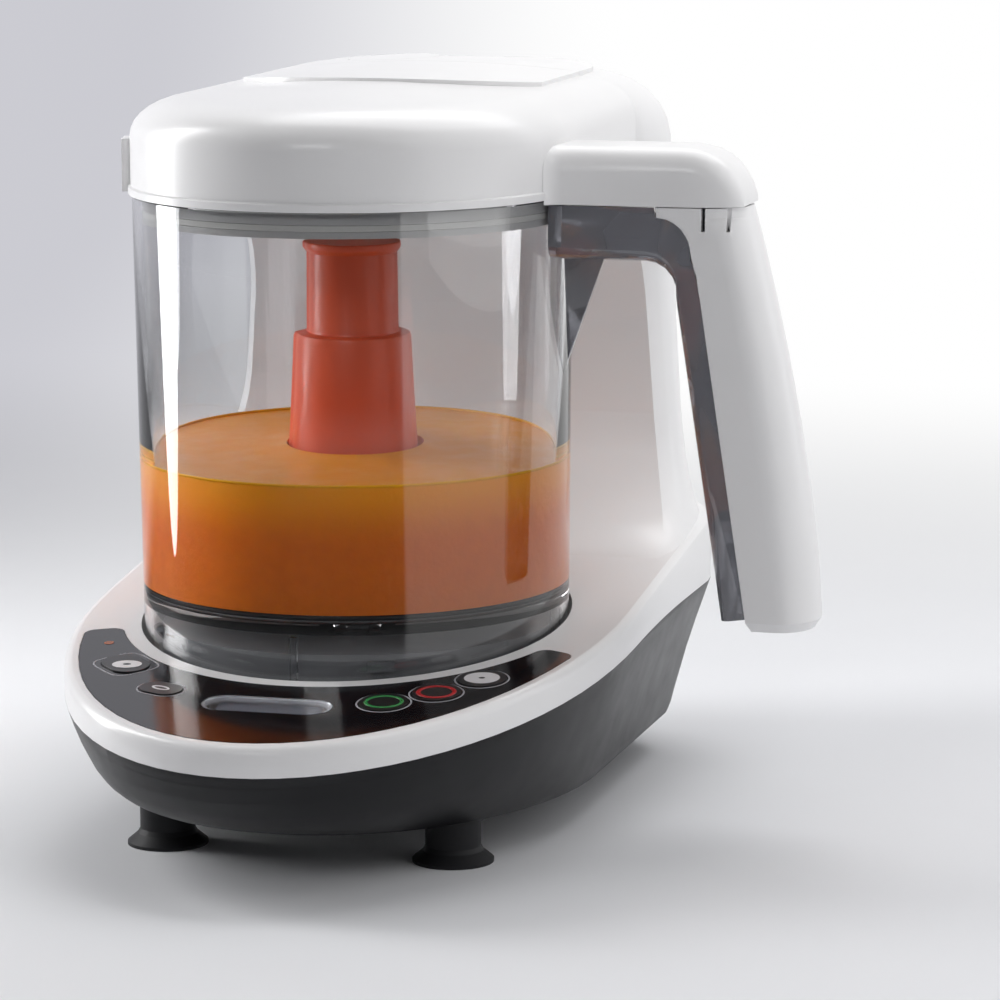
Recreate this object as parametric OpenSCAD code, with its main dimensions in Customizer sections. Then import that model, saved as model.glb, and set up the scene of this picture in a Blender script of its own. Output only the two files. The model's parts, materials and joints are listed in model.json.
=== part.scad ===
// Countertop baby food maker: it steams food in a clear bowl and then purees it with a two-tier blade.
// Frame: millimetres, +Z up. The bowl axis is x = y = 0, the table is z = 0, the front is -Y and
// the bowl's handle points to +X.

/* [Base] */
// Half of the base's width at its rim
base_half_w = 87.5; // [84:0.5:92]
// How far the nose reaches in front of the bowl axis
base_front = 127; // [122:1:134]
// How far the rear wall lies behind the bowl axis
base_rear = 145; // [142:1:150]
// Radius of the base's rear corners
base_corner_r = 35; // [20:1:45]
// Height of the tub's underside above the table
foot_h = 13; // [11:0.5:16]
// How far the tub's sides are drawn in at the underside
tub_inset = 12; // [8:0.5:16]
// How far the tub's nose is drawn in at the underside
nose_inset = 41; // [34:1:46]
// Wall of the tub and of the upper shell
wall = 2.4; // [1.6:0.1:3]
// Height of the rim seam at the nose
seam_front_z = 40; // [36:0.2:43]
// Height of the rim seam along the rear half
seam_rear_z = 58.5; // [54:0.5:61]

/* [Deck] */
// Height of the deck plane on the bowl axis
deck_z = 65.2; // [64:0.2:68]
// Slope of the deck, down towards the front (degrees)
deck_tilt = 7.3; // [5:0.1:9]
// Running gap between the bowl's skirt and the deck's well
well_gap = 1.2; // [0.6:0.1:2]
// Height of the well's floor, on which the bowl stands
seat_z = 50; // [49:0.5:51]
// Width of the white ring between the well and the control panel
ring_w = 5.6; // [4:0.2:7]
// Height of the drive platform above the well's floor
platform_h = 13.5; // [10:0.5:15]

/* [Tower] */
// Front of the tower behind the bowl axis
tower_front = 102; // [98:1:108]
// Half of the tower's width at mid height
tower_half_w = 73; // [70:0.5:76]
// Height of the tower's shoulder line
shoulder_z = 205; // [200:1:210]
// Half of the width of the flat top panel
crown_half_w = 49.5; // [46:0.5:52]
// Height of the crown of the top panel
crown_z = 231; // [229:0.5:234]
// Front of the tower's head, where the lid ends
head_front = 88; // [84:0.5:92]

/* [Bowl] */
// Outer radius of the bowl at its rim
bowl_r = 68; // [66:0.5:70]
// How much narrower the bowl's foot is than its rim, in radius
bowl_draft = 1.7; // [1:0.1:3]
// Wall of the bowl
bowl_wall = 2.6; // [1.8:0.1:3.2]
// Height of the bowl from its foot to its rim
bowl_h = 146.8; // [144:0.2:150]
// Height of the skirt below the bowl's floor
skirt_h = 19.8; // [18:0.2:22]
// Thickness of the bowl's floor
bowl_floor_t = 3; // [2:0.2:4]
// Outer radius of the centre post
post_r = 10; // [9.4:0.1:10.4]
// Radius of the bore through the centre post
post_bore_r = 7.6; // [7.3:0.1:8]
// Height of the centre post's top above the bowl's foot
post_h = 105; // [100:1:108]

/* [Handle] */
// Outer reach of the grip at its foot, from the bowl axis
grip_reach = 148.2; // [144:0.2:155]
// How far the grip's outer side leans in from its foot to its head
grip_lean = 21.5; // [16:0.5:24]
// Reach of the clear rail's back at the grip's foot
rail_reach = 128; // [124:0.5:130]
// Thickness of the clear inner rail of the grip
rail_t = 8; // [6:0.5:10]
// Width of the grip
grip_w = 29; // [26:0.5:32]
// Height of the grip's foot above the table
grip_foot_z = 67; // [62:1:72]
// Height of the clear bridge between the bowl and the grip
bridge_h = 16.5; // [14:0.5:19]
// Height of the web under the bridge
gusset_h = 40; // [30:1:46]
// Wall of the handle's parts
handle_wall = 2.2; // [1.6:0.1:2.6]

/* [Lid] */
// Gap between the lid and the bowl's wall
lid_gap = 0.3; // [0.2:0.05:0.5]
// Height of the lid's upright skirt
lid_skirt_h = 17.6; // [14:0.2:20]
// Wall of the lid
lid_wall = 2.2; // [1.6:0.1:2.6]
// Width of the arm that covers the handle
arm_w = 31.4; // [28:0.2:34]
// Reach of the arm from the bowl axis
arm_reach = 126; // [124:0.5:130]
// Height of the bead along the lid's lip
bead_h = 2.2; // [1.4:0.2:3]
// How far the bead stands out
bead_out = 0.8; // [0.4:0.1:1.2]

/* [Blade] */
// Radius of the hub's upper tier
hub_top_r = 14; // [13.6:0.1:15]
// Radius at the head of the hub's lower tier
hub_mid_r = 17.7; // [17:0.1:18.6]
// Radius at the foot of the hub's lower tier
hub_foot_r = 21; // [20:0.1:23]
// Sweep radius of the lower blade
blade_r = 58; // [50:1:60]
// Thickness of the blades
blade_t = 1.5; // [1:0.1:2]

/* [Drive] */
// Radius of the drive spindle
spindle_r = 4; // [3.5:0.1:4.3]
// Width across the flats of the spindle's hexagonal head
hex_af = 12; // [11:0.1:12.4]
// Clearance of the hub on the hexagonal head, across the flats
hex_clearance = 0.6; // [0.4:0.05:0.8]
// Radial running clearance of the shafts in their bearings
running_fit = 0.05; // [0.02:0.01:0.09]
// Radius of the large pulley under the bowl
pulley_big_r = 27; // [24:0.5:29]
// Radius of the motor's pinion pulley
pulley_small_r = 9; // [8:0.5:10]
// Height of the pulleys' rims
pulley_h = 8; // [7:0.5:9]
// Radius of the motor's can
motor_r = 18; // [15:0.5:19]
// Length of the motor's can
motor_h = 50; // [40:1:52]

/* [Controls] */
// Radius of the round keys
key_r = 7.4; // [6.5:0.1:8]
// Gap around each key in the panel
key_gap = 0.25; // [0.15:0.05:0.4]
// Half of the display window's length
window_half_l = 20; // [16:0.5:24]
// Half of the display window's width
window_half_w = 6.6; // [5:0.2:8]

/* [Feet] */
// Radius of a suction foot's flange
foot_r = 12.4; // [10:0.2:14]
// Distance of each front foot from the centre plane
foot_x = 45.7; // [42:0.1:48]
// Distance of the front feet in front of the bowl axis
foot_front_y = 51; // [44:1:58]
// Distance of the rear feet behind the bowl axis
foot_rear_y = 92; // [84:1:96]

/* [Hidden] */

white = [0.93, 0.93, 0.92];
charcoal = [0.13, 0.13, 0.14];
smoky = [0.45, 0.46, 0.5, 0.45];
terracotta = [0.82, 0.32, 0.22];
steel = [0.72, 0.72, 0.74];
grey = [0.4, 0.41, 0.43];
rubber = [0.08, 0.08, 0.08];

seat_gap = 0.3;          // between parts that rest on each other and lift apart
fit = 0.1;               // between fixed parts that fit together
mid_y = 10;              // where the nose's half ellipse meets the straight sides
corner_steps = 7;        // segments of a rounded corner in the lofts
nose_steps = 36;         // segments of the nose's half ellipse in the lofts
cut = 1;                 // how far a cutting solid runs past what it cuts

// heights
bowl_foot_z = seat_z + seat_gap;
floor_z = bowl_foot_z + skirt_h + bowl_floor_t;
rim_z = bowl_foot_z + bowl_h;
lid_z = rim_z + seat_gap;
crease_z = lid_z + lid_skirt_h;
tub_floor_z = foot_h + wall;

// radii round the bowl axis
bowl_foot_r = bowl_r - bowl_draft;
well_r = bowl_foot_r + well_gap;
platform_r = bowl_foot_r - bowl_wall - 3;
lid_r = bowl_r + lid_gap;
function bowl_r_at(z) = bowl_foot_r + bowl_draft * (z - bowl_foot_z) / bowl_h;

// ---- shapes shared by several parts --------------------------------------------------------------

deck_slope = tan(deck_tilt);
function deck_at(y) = deck_z + deck_slope * y;

// Height of the seam between the tub and the upper shell: it climbs along the nose and levels out.
seam_bend_y = -20;
seam_flat_y = 78;
seam_slope = (seam_rear_z - seam_front_z) / (seam_bend_y + base_front + (seam_flat_y - seam_bend_y) / 2);
function seam_at(y) =
    y < seam_bend_y ? seam_front_z + seam_slope * (y + base_front)
    : y < seam_flat_y ? seam_rear_z - seam_slope * pow(seam_flat_y - y, 2) / (seam_flat_y - seam_bend_y) / 2
    : seam_rear_z;

// Outline in plan: an elliptical nose from the left side to the right, then two rounded rear corners.
function plan(half_w, front, rear, corner, side_y) = concat(
    [for (i = [0 : nose_steps]) let (t = 180 + 180 * i / nose_steps)
        [half_w * cos(t), side_y + (side_y + front) * sin(t)]],
    [for (i = [0 : corner_steps]) let (t = 90 * i / corner_steps)
        [half_w - corner + corner * cos(t), rear - corner + corner * sin(t)]],
    [for (i = [0 : corner_steps]) let (t = 90 + 90 * i / corner_steps)
        [corner - half_w + corner * cos(t), rear - corner + corner * sin(t)]]);

// The base's outline drawn in by d on every side.
function base_plan(d) = plan(base_half_w - d, base_front - d, base_rear - d, base_corner_r - d / 2, mid_y);
function mean(ring) = [for (k = [0 : 2]) [for (p = ring) p[k]] * [for (p = ring) 1] / len(ring)];

// A skin through closed rings of 3-D points, each end closed by a fan about its middle.
module loft(rings) {
    n = len(rings[0]);
    last = len(rings) - 1;
    points = concat([for (r = rings) each r], [mean(rings[0]), mean(rings[last])]);
    sides = [for (j = [0 : last - 1]) for (i = [0 : n - 1]) let (a = j * n + i, b = j * n + (i + 1) % n)
        each [[a, a + n, b + n], [a, b + n, b]]];
    ends = [for (i = [0 : n - 1]) let (b = (i + 1) % n)
        each [[i, b, (last + 1) * n], [last * n + b, last * n + i, (last + 1) * n + 1]]];
    polyhedron(points = points, faces = concat(sides, ends), convexity = 8);
}

// Children drawn on the deck plane, with z = 0 on the deck and x = y = 0 on the bowl axis.
module on_deck(depth = 0) translate([0, 0, deck_z]) rotate([deck_tilt, 0, 0]) translate([0, 0, -depth])
    children();

// A profile drawn as [y, z], swept along X over the whole width.
module sweep_x(half_w) rotate([90, 0, 90]) translate([0, 0, -half_w]) linear_extrude(2 * half_w) children();

module ring(outer, inner, h) difference() {
    cylinder(r = outer, h = h, $fn = 96);
    translate([0, 0, -cut]) cylinder(r = inner, h = h + 2 * cut, $fn = 96);
}

// ---- base: tub -----------------------------------------------------------------------------------

// The tub's outer form drawn in by d. Each station is its height as a share of the way to the seam,
// then the shares of the side's and of the nose's inset.
tub_stations = [[0, 1.3, 1.1], [0.03, 1.08, 0.98], [0.09, 1, 0.81], [0.2, 0.9, 0.56], [0.34, 0.76, 0.33],
    [0.5, 0.6, 0.16], [0.7, 0.37, 0.05], [0.87, 0.16, 0.01], [1, 0, 0], [1.15, 0, 0]];
function tub_plan(side, nose) = plan(base_half_w - side, base_front - nose, base_rear - side,
    base_corner_r - side / 2, mid_y);
module tub_form(d) loft([for (s = tub_stations) [for (p = tub_plan(s[1] * tub_inset + d,
    s[2] * nose_inset + d))
    [p[0], p[1], foot_h + d + (seam_at(p[1]) - foot_h - d) * s[0]]]]);

// Everything below the seam, with the seam moved down by gap.
module below_seam(gap) sweep_x(base_half_w + 10) polygon(concat(
    [[base_rear + 20, seam_rear_z - gap], [base_rear + 20, -10], [-base_front - 20, -10]],
    [for (y = [-base_front - 20 : 6 : seam_flat_y]) [y, seam_at(y) - gap]]));

screw_r = 1.5;
screw_head_r = 2.9;
screw_head_h = 1.8;
boss_r = 4.4;
boss_top_z = tub_floor_z + 5;
shell_screw_spots = [[46, -40], [-46, -40], [48, 40], [-48, 40], [54, 78], [-54, 78]];
foot_spots = [[foot_x, -foot_front_y], [-foot_x, -foot_front_y], [foot_x, foot_rear_y], [-foot_x,
    foot_rear_y]];
foot_post_r = 8.5;
foot_stud_r = 3;
foot_boss_h = 2.4;
foot_barb_z = foot_h + wall + foot_boss_h + 0.2;

motor_x = -36;
motor_y = 112;
bracket_z = 31;
bracket_t = 2.5;
bracket_reach = 25;
bracket_spots = [for (x = [-1, 1]) for (y = [-8, 10]) [motor_x + x * bracket_reach, motor_y + y]];
boiler_x = 38;
boiler_y = 110;
boiler_z = 40;
boiler_size = [46, 28, 30];
boiler_spots = [for (x = [-1, 1]) for (y = [-1, 1]) [boiler_x + x * 15, boiler_y + y * 9]];
inlet_x = 45;
inlet_z = 40;
inlet_r = 6;
inlet_y = base_rear - tub_inset * lookup((inlet_z - foot_h) / (seam_rear_z - foot_h),
    [for (s = tub_stations) [s[0], s[1]]]);

module at_spots(spots, z) for (p = spots) translate([p[0], p[1], z]) children();

module base_tub() color(charcoal) difference() {
    union() {
        difference() {
            intersection() {
                tub_form(0);
                below_seam(0);
            }
            tub_form(wall);
        }
        intersection() {
            tub_form(wall / 2);
            union() {
                at_spots(shell_screw_spots, foot_h) cylinder(r = boss_r, h = boss_top_z - foot_h, $fn = 32);
                at_spots(bracket_spots, foot_h) cylinder(r = boss_r, h = bracket_z - foot_h, $fn = 32);
                at_spots(boiler_spots, foot_h) cylinder(r = boss_r, h = boiler_z - foot_h, $fn = 32);
            }
        }
        at_spots(foot_spots, foot_h) cylinder(r = foot_post_r + 0.8, h = wall + foot_boss_h, $fn = 48);
    }
    at_spots(shell_screw_spots, foot_h - cut) {
        cylinder(r = screw_head_r + 0.4, h = screw_head_h + 1 + cut, $fn = 32);
        cylinder(r = screw_r + 0.3, h = 20, $fn = 32);
    }
    at_spots(foot_spots, foot_h - cut)
        cylinder(r = foot_stud_r + fit, h = wall + foot_boss_h + 2 * cut, $fn = 32);
    for (a = [0 : 30 : 330]) translate([motor_x, motor_y, foot_h - cut]) rotate(a)
        translate([5, -1, 0]) cube([9, 2, wall + 2 * cut]);
    translate([inlet_x, base_rear + cut, inlet_z]) rotate([90, 0, 0])
        cylinder(r = inlet_r, h = 30, $fn = 48);
}

// ---- base: upper shell ---------------------------------------------------------------------------

// Half width of the tower at height z: it flares out to the base and tapers a little upwards.
tower_taper = 2;
taper_z = 125;
flare_h = 25;
function tower_half(z) = tower_half_w - tower_taper * max(z - taper_z, 0) / (shoulder_z - taper_z)
    + (base_half_w - tower_half_w) / (1 + pow(max(z - deck_z, 0) / flare_h, 2));
head_corner_r = 26;
crown_edge_z = crown_z - 2.7;
shoulder_top_z = crown_edge_z - 1.3;
crown_back = base_rear - 16;
shoulder_steps = 6;
front_edge_in = 5;                       // how far the front's edges are drawn in from the sides
front_edge_back = 9;

// Outline of the tower in plan at height z: eased front edges, rounded rear corners.
function tower_plan(w, back, corner, front, z) = concat(
    [[w - front_edge_in, front, z], [w - front_edge_in * 0.35, front + front_edge_back * 0.45, z],
     [w, front + front_edge_back, z]],
    [for (i = [0 : corner_steps]) let (t = 90 * i / corner_steps)
        [w - corner + corner * cos(t), back - corner + corner * sin(t), z]],
    [for (i = [0 : corner_steps]) let (t = 90 + 90 * i / corner_steps)
        [corner - w + corner * cos(t), back - corner + corner * sin(t), z]],
    [[-w, front + front_edge_back, z], [front_edge_in * 0.35 - w, front + front_edge_back * 0.45, z],
     [front_edge_in - w, front, z]]);

// The tower's front wall seen from the side: a throat that rises from the deck, then a sweep out to the head.
throat_r = 42;
sweep_r = 45;
sweep_z = 146;
sweep_turn = acos(1 - (tower_front - head_front) / sweep_r);
throat_y = tower_front - throat_r;
throat_z = deck_at(throat_y) + throat_r / cos(deck_tilt);
function front_at(z, d) = let (r = throat_r + d, out = throat_z - z)
    z > sweep_z + sweep_r * sin(sweep_turn) ? head_front + d
    : z > sweep_z ? tower_front + d - sweep_r + sqrt(pow(sweep_r, 2) - pow(z - sweep_z, 2))
    : out < 0 ? tower_front + d
    : throat_y + sqrt(max(pow(r, 2) - pow(out, 2), pow(r * sin(deck_tilt), 2)));

// The tower's outer form drawn in by d, from inside the slab to the flat top's edge.
module tower_form(d) {
    r = throat_r + d;
    levels = concat([48], [for (t = [deck_tilt : (90 - deck_tilt) / 7 : 90]) throat_z - r * cos(t)],
        [sweep_z], [for (i = [1 : 4]) sweep_z + sweep_r * sin(sweep_turn * i / 4) + (i == 4 ? 0.01 : 0)],
            [shoulder_z]);
    low = [for (z = levels) let (w = tower_half(z))
        tower_plan(w - d, base_rear - d, min(base_corner_r, head_corner_r + w - tower_half_w) - d / 2,
            front_at(z, d), z)];
    high = [for (i = [1 : shoulder_steps]) let (t = 90 * i / shoulder_steps)
        tower_plan(crown_half_w + (tower_half(shoulder_z) - crown_half_w) * cos(t) - d,
            base_rear - d - (base_rear - crown_back) * (1 - cos(t)), head_corner_r - d / 2, head_front + d,
            shoulder_z + (shoulder_top_z - d - shoulder_z) * sin(t))];
    loft(concat(low, high));
}

// The slab under the deck, drawn in by d, with a rounded rim.
rim_round = 2.6;
slab_depth = 34;
module slab_form(d) {
    rings = concat([[slab_depth, 0]],
        [for (i = [0 : 3]) let (t = 30 * i) [rim_round * (1 - sin(t)), rim_round * (1 - cos(t))]]);
    loft([for (s = rings) [for (p = base_plan(s[1] + d)) [p[0], p[1], deck_at(p[1]) - s[0] - d]]]);
}

// The flat top's section: an arch over its width. Its side view curves down at the back.
arch_rise = crown_z - crown_edge_z;
arch_r = (pow(crown_half_w, 2) + pow(arch_rise, 2)) / arch_rise / 2;
function arch_at(x) = crown_z - arch_r + sqrt(pow(arch_r, 2) - pow(x, 2));
arch_steps = 10;
module crown_section() polygon(concat(
    [for (i = [-arch_steps : arch_steps]) let (x = crown_half_w * i / arch_steps) [x, arch_at(x)]],
    [[crown_half_w, shoulder_top_z - 1.5], [-crown_half_w, shoulder_top_z - 1.5]]));
module tower_crown() intersection() {
    along_y(head_front, base_rear) crown_section();
    translate([0, 0, shoulder_top_z - 5]) linear_extrude(20) difference() {
        polygon([for (p = tower_plan(crown_half_w, crown_back, head_corner_r, 0, 0)) [p[0], p[1]]]);
        translate([-base_half_w, -cut]) square([2 * base_half_w, head_front + cut]);
    }
    sweep_x(crown_half_w + cut) polygon(concat([[head_front - cut, shoulder_top_z - 6],
        [head_front - cut, crown_z]],
        [for (i = [0 : 6]) let (t = 90 * i / 6) [crown_back - 22 * (1 - sin(t)),
            crown_edge_z + arch_rise * cos(t)]],
        [[crown_back + cut, crown_edge_z], [crown_back + cut, shoulder_top_z - 6]]));
}

// 2-D children drawn as [x, z], drawn out along Y.
module along_y(from, to) translate([0, to, 0]) rotate([90, 0, 0]) linear_extrude(to - from) children();

back_split_y = 128;
back_foot_z = 92;
module back_zone(gap) translate([-base_half_w, back_split_y - gap, back_foot_z - gap])
    cube([2 * base_half_w, base_rear, crown_z]);

// Walls of the whole upper shell, rear cover included.
module upper_walls() difference() {
    union() {
        slab_form(0);
        tower_form(0);
        tower_crown();
    }
    slab_form(wall);
    tower_form(wall);
}

well_wall = 2.4;
well_hole_r = 14.6;
pillar_r = 4;
shelf_z = 109;
shelf_t = 2.4;
panel_t = 1.2;
panel_margin = 4.5;
panel_r = well_r + ring_w;
panel_span = 68;                         // half angle of the panel round the front
plunger_z = 200;
plunger_r = 3;
port_z = 211;
port_r = 4;
cap_x = -20;
cap_y = 111;
cap_r = 15;

// 2-D outline of the control panel on the deck plane, drawn in by d.
module panel_outline(d) offset(r = 4, $fn = 24) offset(delta = -4 - d) difference() {
    polygon([for (p = base_plan(panel_margin)) [p[0], p[1] / cos(deck_tilt)]]);
    circle(r = panel_r, $fn = 120);
    for (m = [0, 1]) mirror([m, 0]) rotate(-90 + panel_span) square([200, 200]);
    translate([-100, 0]) square([200, 200]);
}

round_keys = [[34, -83.4], [47, -72.5], [57, -58.2]];
mode_key = [-54.8, -61.5];
steam_key = [-36.2, -81.8];
led_spot = [-67, -42.7];
led_r = 1.5;
window_y = -90.6;
mode_key_half = [8.6, 6.2];
mode_key_turn = -42;
steam_key_half = [7, 4.6];
steam_key_turn = -20;

// 2-D slot with round ends: half length, half width.
module slot_2d(half_l, half_w) {
    square([2 * (half_l - half_w), 2 * half_w], center = true);
    for (s = [-1, 1]) translate([s * (half_l - half_w), 0]) circle(r = half_w, $fn = 48);
}
module key_2d(name, grow) {
    if (name == "mode") translate(mode_key) rotate(mode_key_turn)
        slot_2d(mode_key_half[0] + grow, mode_key_half[1] + grow);
    if (name == "steam") translate(steam_key) rotate(steam_key_turn)
        slot_2d(steam_key_half[0] + grow, steam_key_half[1] + grow);
    if (name == "start") translate(round_keys[0]) circle(r = key_r + grow, $fn = 64);
    if (name == "stop") translate(round_keys[1]) circle(r = key_r + grow, $fn = 64);
    if (name == "blend") translate(round_keys[2]) circle(r = key_r + grow, $fn = 64);
}
key_names = ["mode", "steam", "start", "stop", "blend"];
key_spots = [mode_key, steam_key, round_keys[0], round_keys[1], round_keys[2]];

module deck_holes(depth) {
    on_deck(depth) linear_extrude(depth + 2) for (k = key_names) key_2d(k, key_gap);
    on_deck(depth) translate([led_spot[0], led_spot[1]]) cylinder(r = led_r + fit, h = depth + 2, $fn = 32);
}

board_depth = 9;
board_t = 1.6;
switch_h = 2.4;
board_spots = [[-70, -22], [-20, -78], [20, -78], [70, -22]];
seat_screw_r = 50;
seat_screw_angles = [30, 150, 270];
vent_rows = 6;

module top_shell() color(white) difference() {
    union() {
        difference() {
            upper_walls();
            below_seam(-fit);
            back_zone(fit);
        }
        translate([0, 0, seat_z - well_wall])
            cylinder(r = well_r + well_wall, h = deck_z - 12 - seat_z, $fn = 120);
        intersection() {
            translate([0, 0, seat_z]) cylinder(r = well_r + well_wall, h = 40, $fn = 120);
            slab_form(wall / 2);
        }
        at_spots([for (i = [0 : 3]) shell_screw_spots[i]], boss_top_z + fit)
            cylinder(r = pillar_r, h = seat_z - well_wall / 2 - boss_top_z - fit, $fn = 32);
        at_spots([shell_screw_spots[4], shell_screw_spots[5]], boss_top_z + fit)
            cylinder(r = pillar_r, h = deck_at(shell_screw_spots[4][1]) - boss_top_z, $fn = 32);
        difference() {
            translate([wall / 2 - tower_half(shelf_z), tower_front + wall / 2, shelf_z])
                cube([2 * tower_half(shelf_z) - wall, back_split_y - fit - tower_front - wall / 2,
                    shelf_t]);
            translate([boiler_x - 12, tower_front + 4, shelf_z - cut]) cube([24, 40, shelf_t + 2 * cut]);
            translate([tank_x1 - 8, outlet_y, shelf_z - cut])
                cylinder(r = tube_r + 1.5, h = shelf_t + 2 * cut, $fn = 32);
        }
        translate([-9, head_front + wall / 2, plunger_z - 6 - shelf_t]) cube([18, 14, shelf_t]);
        for (p = board_spots) on_deck(board_depth) translate([p[0], p[1], 0])
            cylinder(r = 2.4, h = board_depth - 1, $fn = 24);
        for (p = board_spots) on_deck(board_depth + board_t + 0.8) translate([p[0], p[1], 0])
            cylinder(r = 1.2, h = board_t + 1.8, $fn = 24);
    }
    translate([0, 0, seat_z]) cylinder(r = well_r, h = 60, $fn = 120);
    translate([0, 0, seat_z - 10]) cylinder(r = well_hole_r, h = 20, $fn = 64);
    for (a = seat_screw_angles) rotate(a) translate([seat_screw_r, 0, seat_z - 10])
        cylinder(r = screw_r + 0.3, h = 20, $fn = 24);
    at_spots(shell_screw_spots, boss_top_z - cut) cylinder(r = screw_r, h = 14, $fn = 24);
    on_deck(panel_t) linear_extrude(panel_t + 3) panel_outline(-fit);
    deck_holes(8);
    on_deck(8) translate([0, window_y]) linear_extrude(8) slot_2d(window_half_l - 1, window_half_w - 1);
    translate([cap_x, cap_y, arch_at(0) - 20]) cylinder(r = cap_r + seat_gap, h = 30, $fn = 64);
    translate([0, head_front - cut, plunger_z]) rotate([-90, 0, 0])
        cylinder(r = plunger_r + 0.1, h = 8, $fn = 32);
    translate([0, head_front - cut, port_z]) rotate([-90, 0, 0])
        cylinder(r = port_r + fit, h = 8, $fn = 32);
}

module tower_back() color(white) difference() {
    intersection() {
        upper_walls();
        back_zone(0);
    }
    for (i = [0 : vent_rows - 1]) translate([-40, base_rear - 6, 122 + 5 * i]) cube([30, 12, 2.2]);
}

// ---- base: drive seat ----------------------------------------------------------------------------

seat_wall = 2.4;
bearing_r = 11;
bearing_h = 7;
bearing_low_z = 36;
bearing_high_z = 53;
boss_foot_z = 31;
platform_z = seat_z + platform_h;
seal_h = 2.6;
lug_count = 4;

module drive_seat() color(grey) difference() {
    union() {
        translate([0, 0, seat_z]) ring(platform_r, platform_r - seat_wall, platform_h - 1);
        translate([0, 0, platform_z - seat_wall]) cylinder(r = platform_r, h = seat_wall, $fn = 120);
        translate([0, 0, boss_foot_z]) cylinder(r = well_hole_r - fit, h = platform_z - boss_foot_z,
            $fn = 64);
        for (a = seat_screw_angles) rotate(a) translate([seat_screw_r, 0, seat_z])
            cylinder(r = 4, h = platform_h - 1, $fn = 32);
        for (a = [0 : 360 / lug_count : 359]) rotate(a + 24)
            translate([platform_r - 2, -4, platform_z - 5]) cube([4, 8, 3]);
    }
    translate([0, 0, boss_foot_z - cut]) cylinder(r = spindle_r + 3, h = 60, $fn = 48);
    translate([0, 0, boss_foot_z - cut])
        cylinder(r = bearing_r, h = bearing_low_z + bearing_h - boss_foot_z + cut, $fn = 64);
    translate([0, 0, bearing_high_z]) cylinder(r = bearing_r, h = 20, $fn = 64);
    for (a = seat_screw_angles) rotate(a) translate([seat_screw_r, 0, seat_z - cut])
        cylinder(r = screw_r, h = 9, $fn = 24);
}

module spindle_bearings() color(steel) for (z = [bearing_low_z, bearing_high_z]) translate([0, 0, z])
    ring(bearing_r, spindle_r + running_fit, bearing_h);

module spindle_seal() color(rubber) translate([0, 0, platform_z - seal_h - 0.5])
    ring(bearing_r, spindle_r + running_fit, seal_h);

// ---- base: controls ------------------------------------------------------------------------------

module control_panel() color(rubber) difference() {
    on_deck(panel_t) linear_extrude(panel_t + 0.1) panel_outline(fit);
    deck_holes(8);
    on_deck(8) translate([0, window_y]) linear_extrude(10)
        slot_2d(window_half_l + fit, window_half_w + fit);
}

module display_window() color([0.75, 0.75, 0.78]) on_deck(panel_t - 0.05) translate([0, window_y])
    linear_extrude(panel_t + 0.1) slot_2d(window_half_l, window_half_w);

module display_module() color(grey) {
    on_deck(board_depth) translate([4 - window_half_l, window_y - window_half_w + 1])
        linear_extrude(board_depth - wall - 0.4) square([2 * window_half_l - 8, 2 * window_half_w - 2]);
}

module status_led() color("orange") on_deck(board_depth) translate([led_spot[0], led_spot[1]]) {
    cylinder(r = led_r, h = board_depth + 0.2, $fn = 32);
    cylinder(r = led_r + 0.5, h = 1, $fn = 32);
}

module board_outline() intersection() {
    difference() {
        polygon([for (p = base_plan(11)) [p[0], p[1] / cos(deck_tilt)]]);
        circle(r = well_r + well_wall + 1.5, $fn = 120);
    }
    translate([-90, -140]) square([180, 127]);
}

module control_board() color([0.1, 0.35, 0.15]) difference() {
    on_deck(board_depth + board_t) linear_extrude(board_t) board_outline();
    for (p = board_spots) on_deck(board_depth + 4) translate([p[0], p[1], 0])
        cylinder(r = 1.3, h = 6, $fn = 24);
}

module key_switches() color([0.2, 0.2, 0.2]) for (p = key_spots) on_deck(board_depth)
    translate([p[0], p[1], 0]) {
    translate([-3, -3, 0]) cube([6, 6, switch_h - 0.6]);
    cylinder(r = 1.6, h = switch_h, $fn = 32);
}

key_rise = 0.5;
key_lip = 0.7;
module key(name, i) {
    on_deck(panel_t + wall) linear_extrude(panel_t + wall + key_rise) key_2d(name, 0);
    on_deck(wall + fit + 0.9) linear_extrude(0.9) key_2d(name, key_lip);
    on_deck(board_depth - switch_h - 0.6) translate([key_spots[i][0], key_spots[i][1], 0])
        cylinder(r = 1.5, h = 4, $fn = 32);
}
module key_mode() color(rubber) key("mode", 0);
module key_steam() color(rubber) key("steam", 1);
module key_start() color([0.1, 0.5, 0.3]) key("start", 2);
module key_stop() color([0.7, 0.1, 0.15]) key("stop", 3);
module key_blend() color(grey) key("blend", 4);

// ---- base: feet and screws -----------------------------------------------------------------------

module suction_feet() color(rubber) at_spots(foot_spots, 0) rotate_extrude($fn = 64) polygon([[0, 2.4],
    [foot_r - 2.6, 0.6], [foot_r - 2.4, 0], [foot_r, 0], [foot_r, 1], [foot_post_r + 0.8, 3.6],
        [foot_post_r, 5],
    [foot_post_r, foot_h - fit], [foot_stud_r, foot_h - fit], [foot_stud_r, foot_barb_z],
    [foot_stud_r + 1, foot_barb_z + 0.2], [foot_stud_r - 1, foot_barb_z + 2.8], [0, foot_barb_z + 2.8]]);

module screw(length) {
    cylinder(r = screw_head_r, h = screw_head_h, $fn = 32);
    cylinder(r = screw_r - 0.02, h = length, $fn = 24);
}
module shell_screws() color(steel) at_spots(shell_screw_spots, foot_h + 1) screw(18);
module seat_screws() color(steel) for (a = seat_screw_angles) rotate(a)
    translate([seat_screw_r, 0, seat_z - well_wall - fit - screw_head_h]) screw(12);

// ---- base: drive ---------------------------------------------------------------------------------

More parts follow.
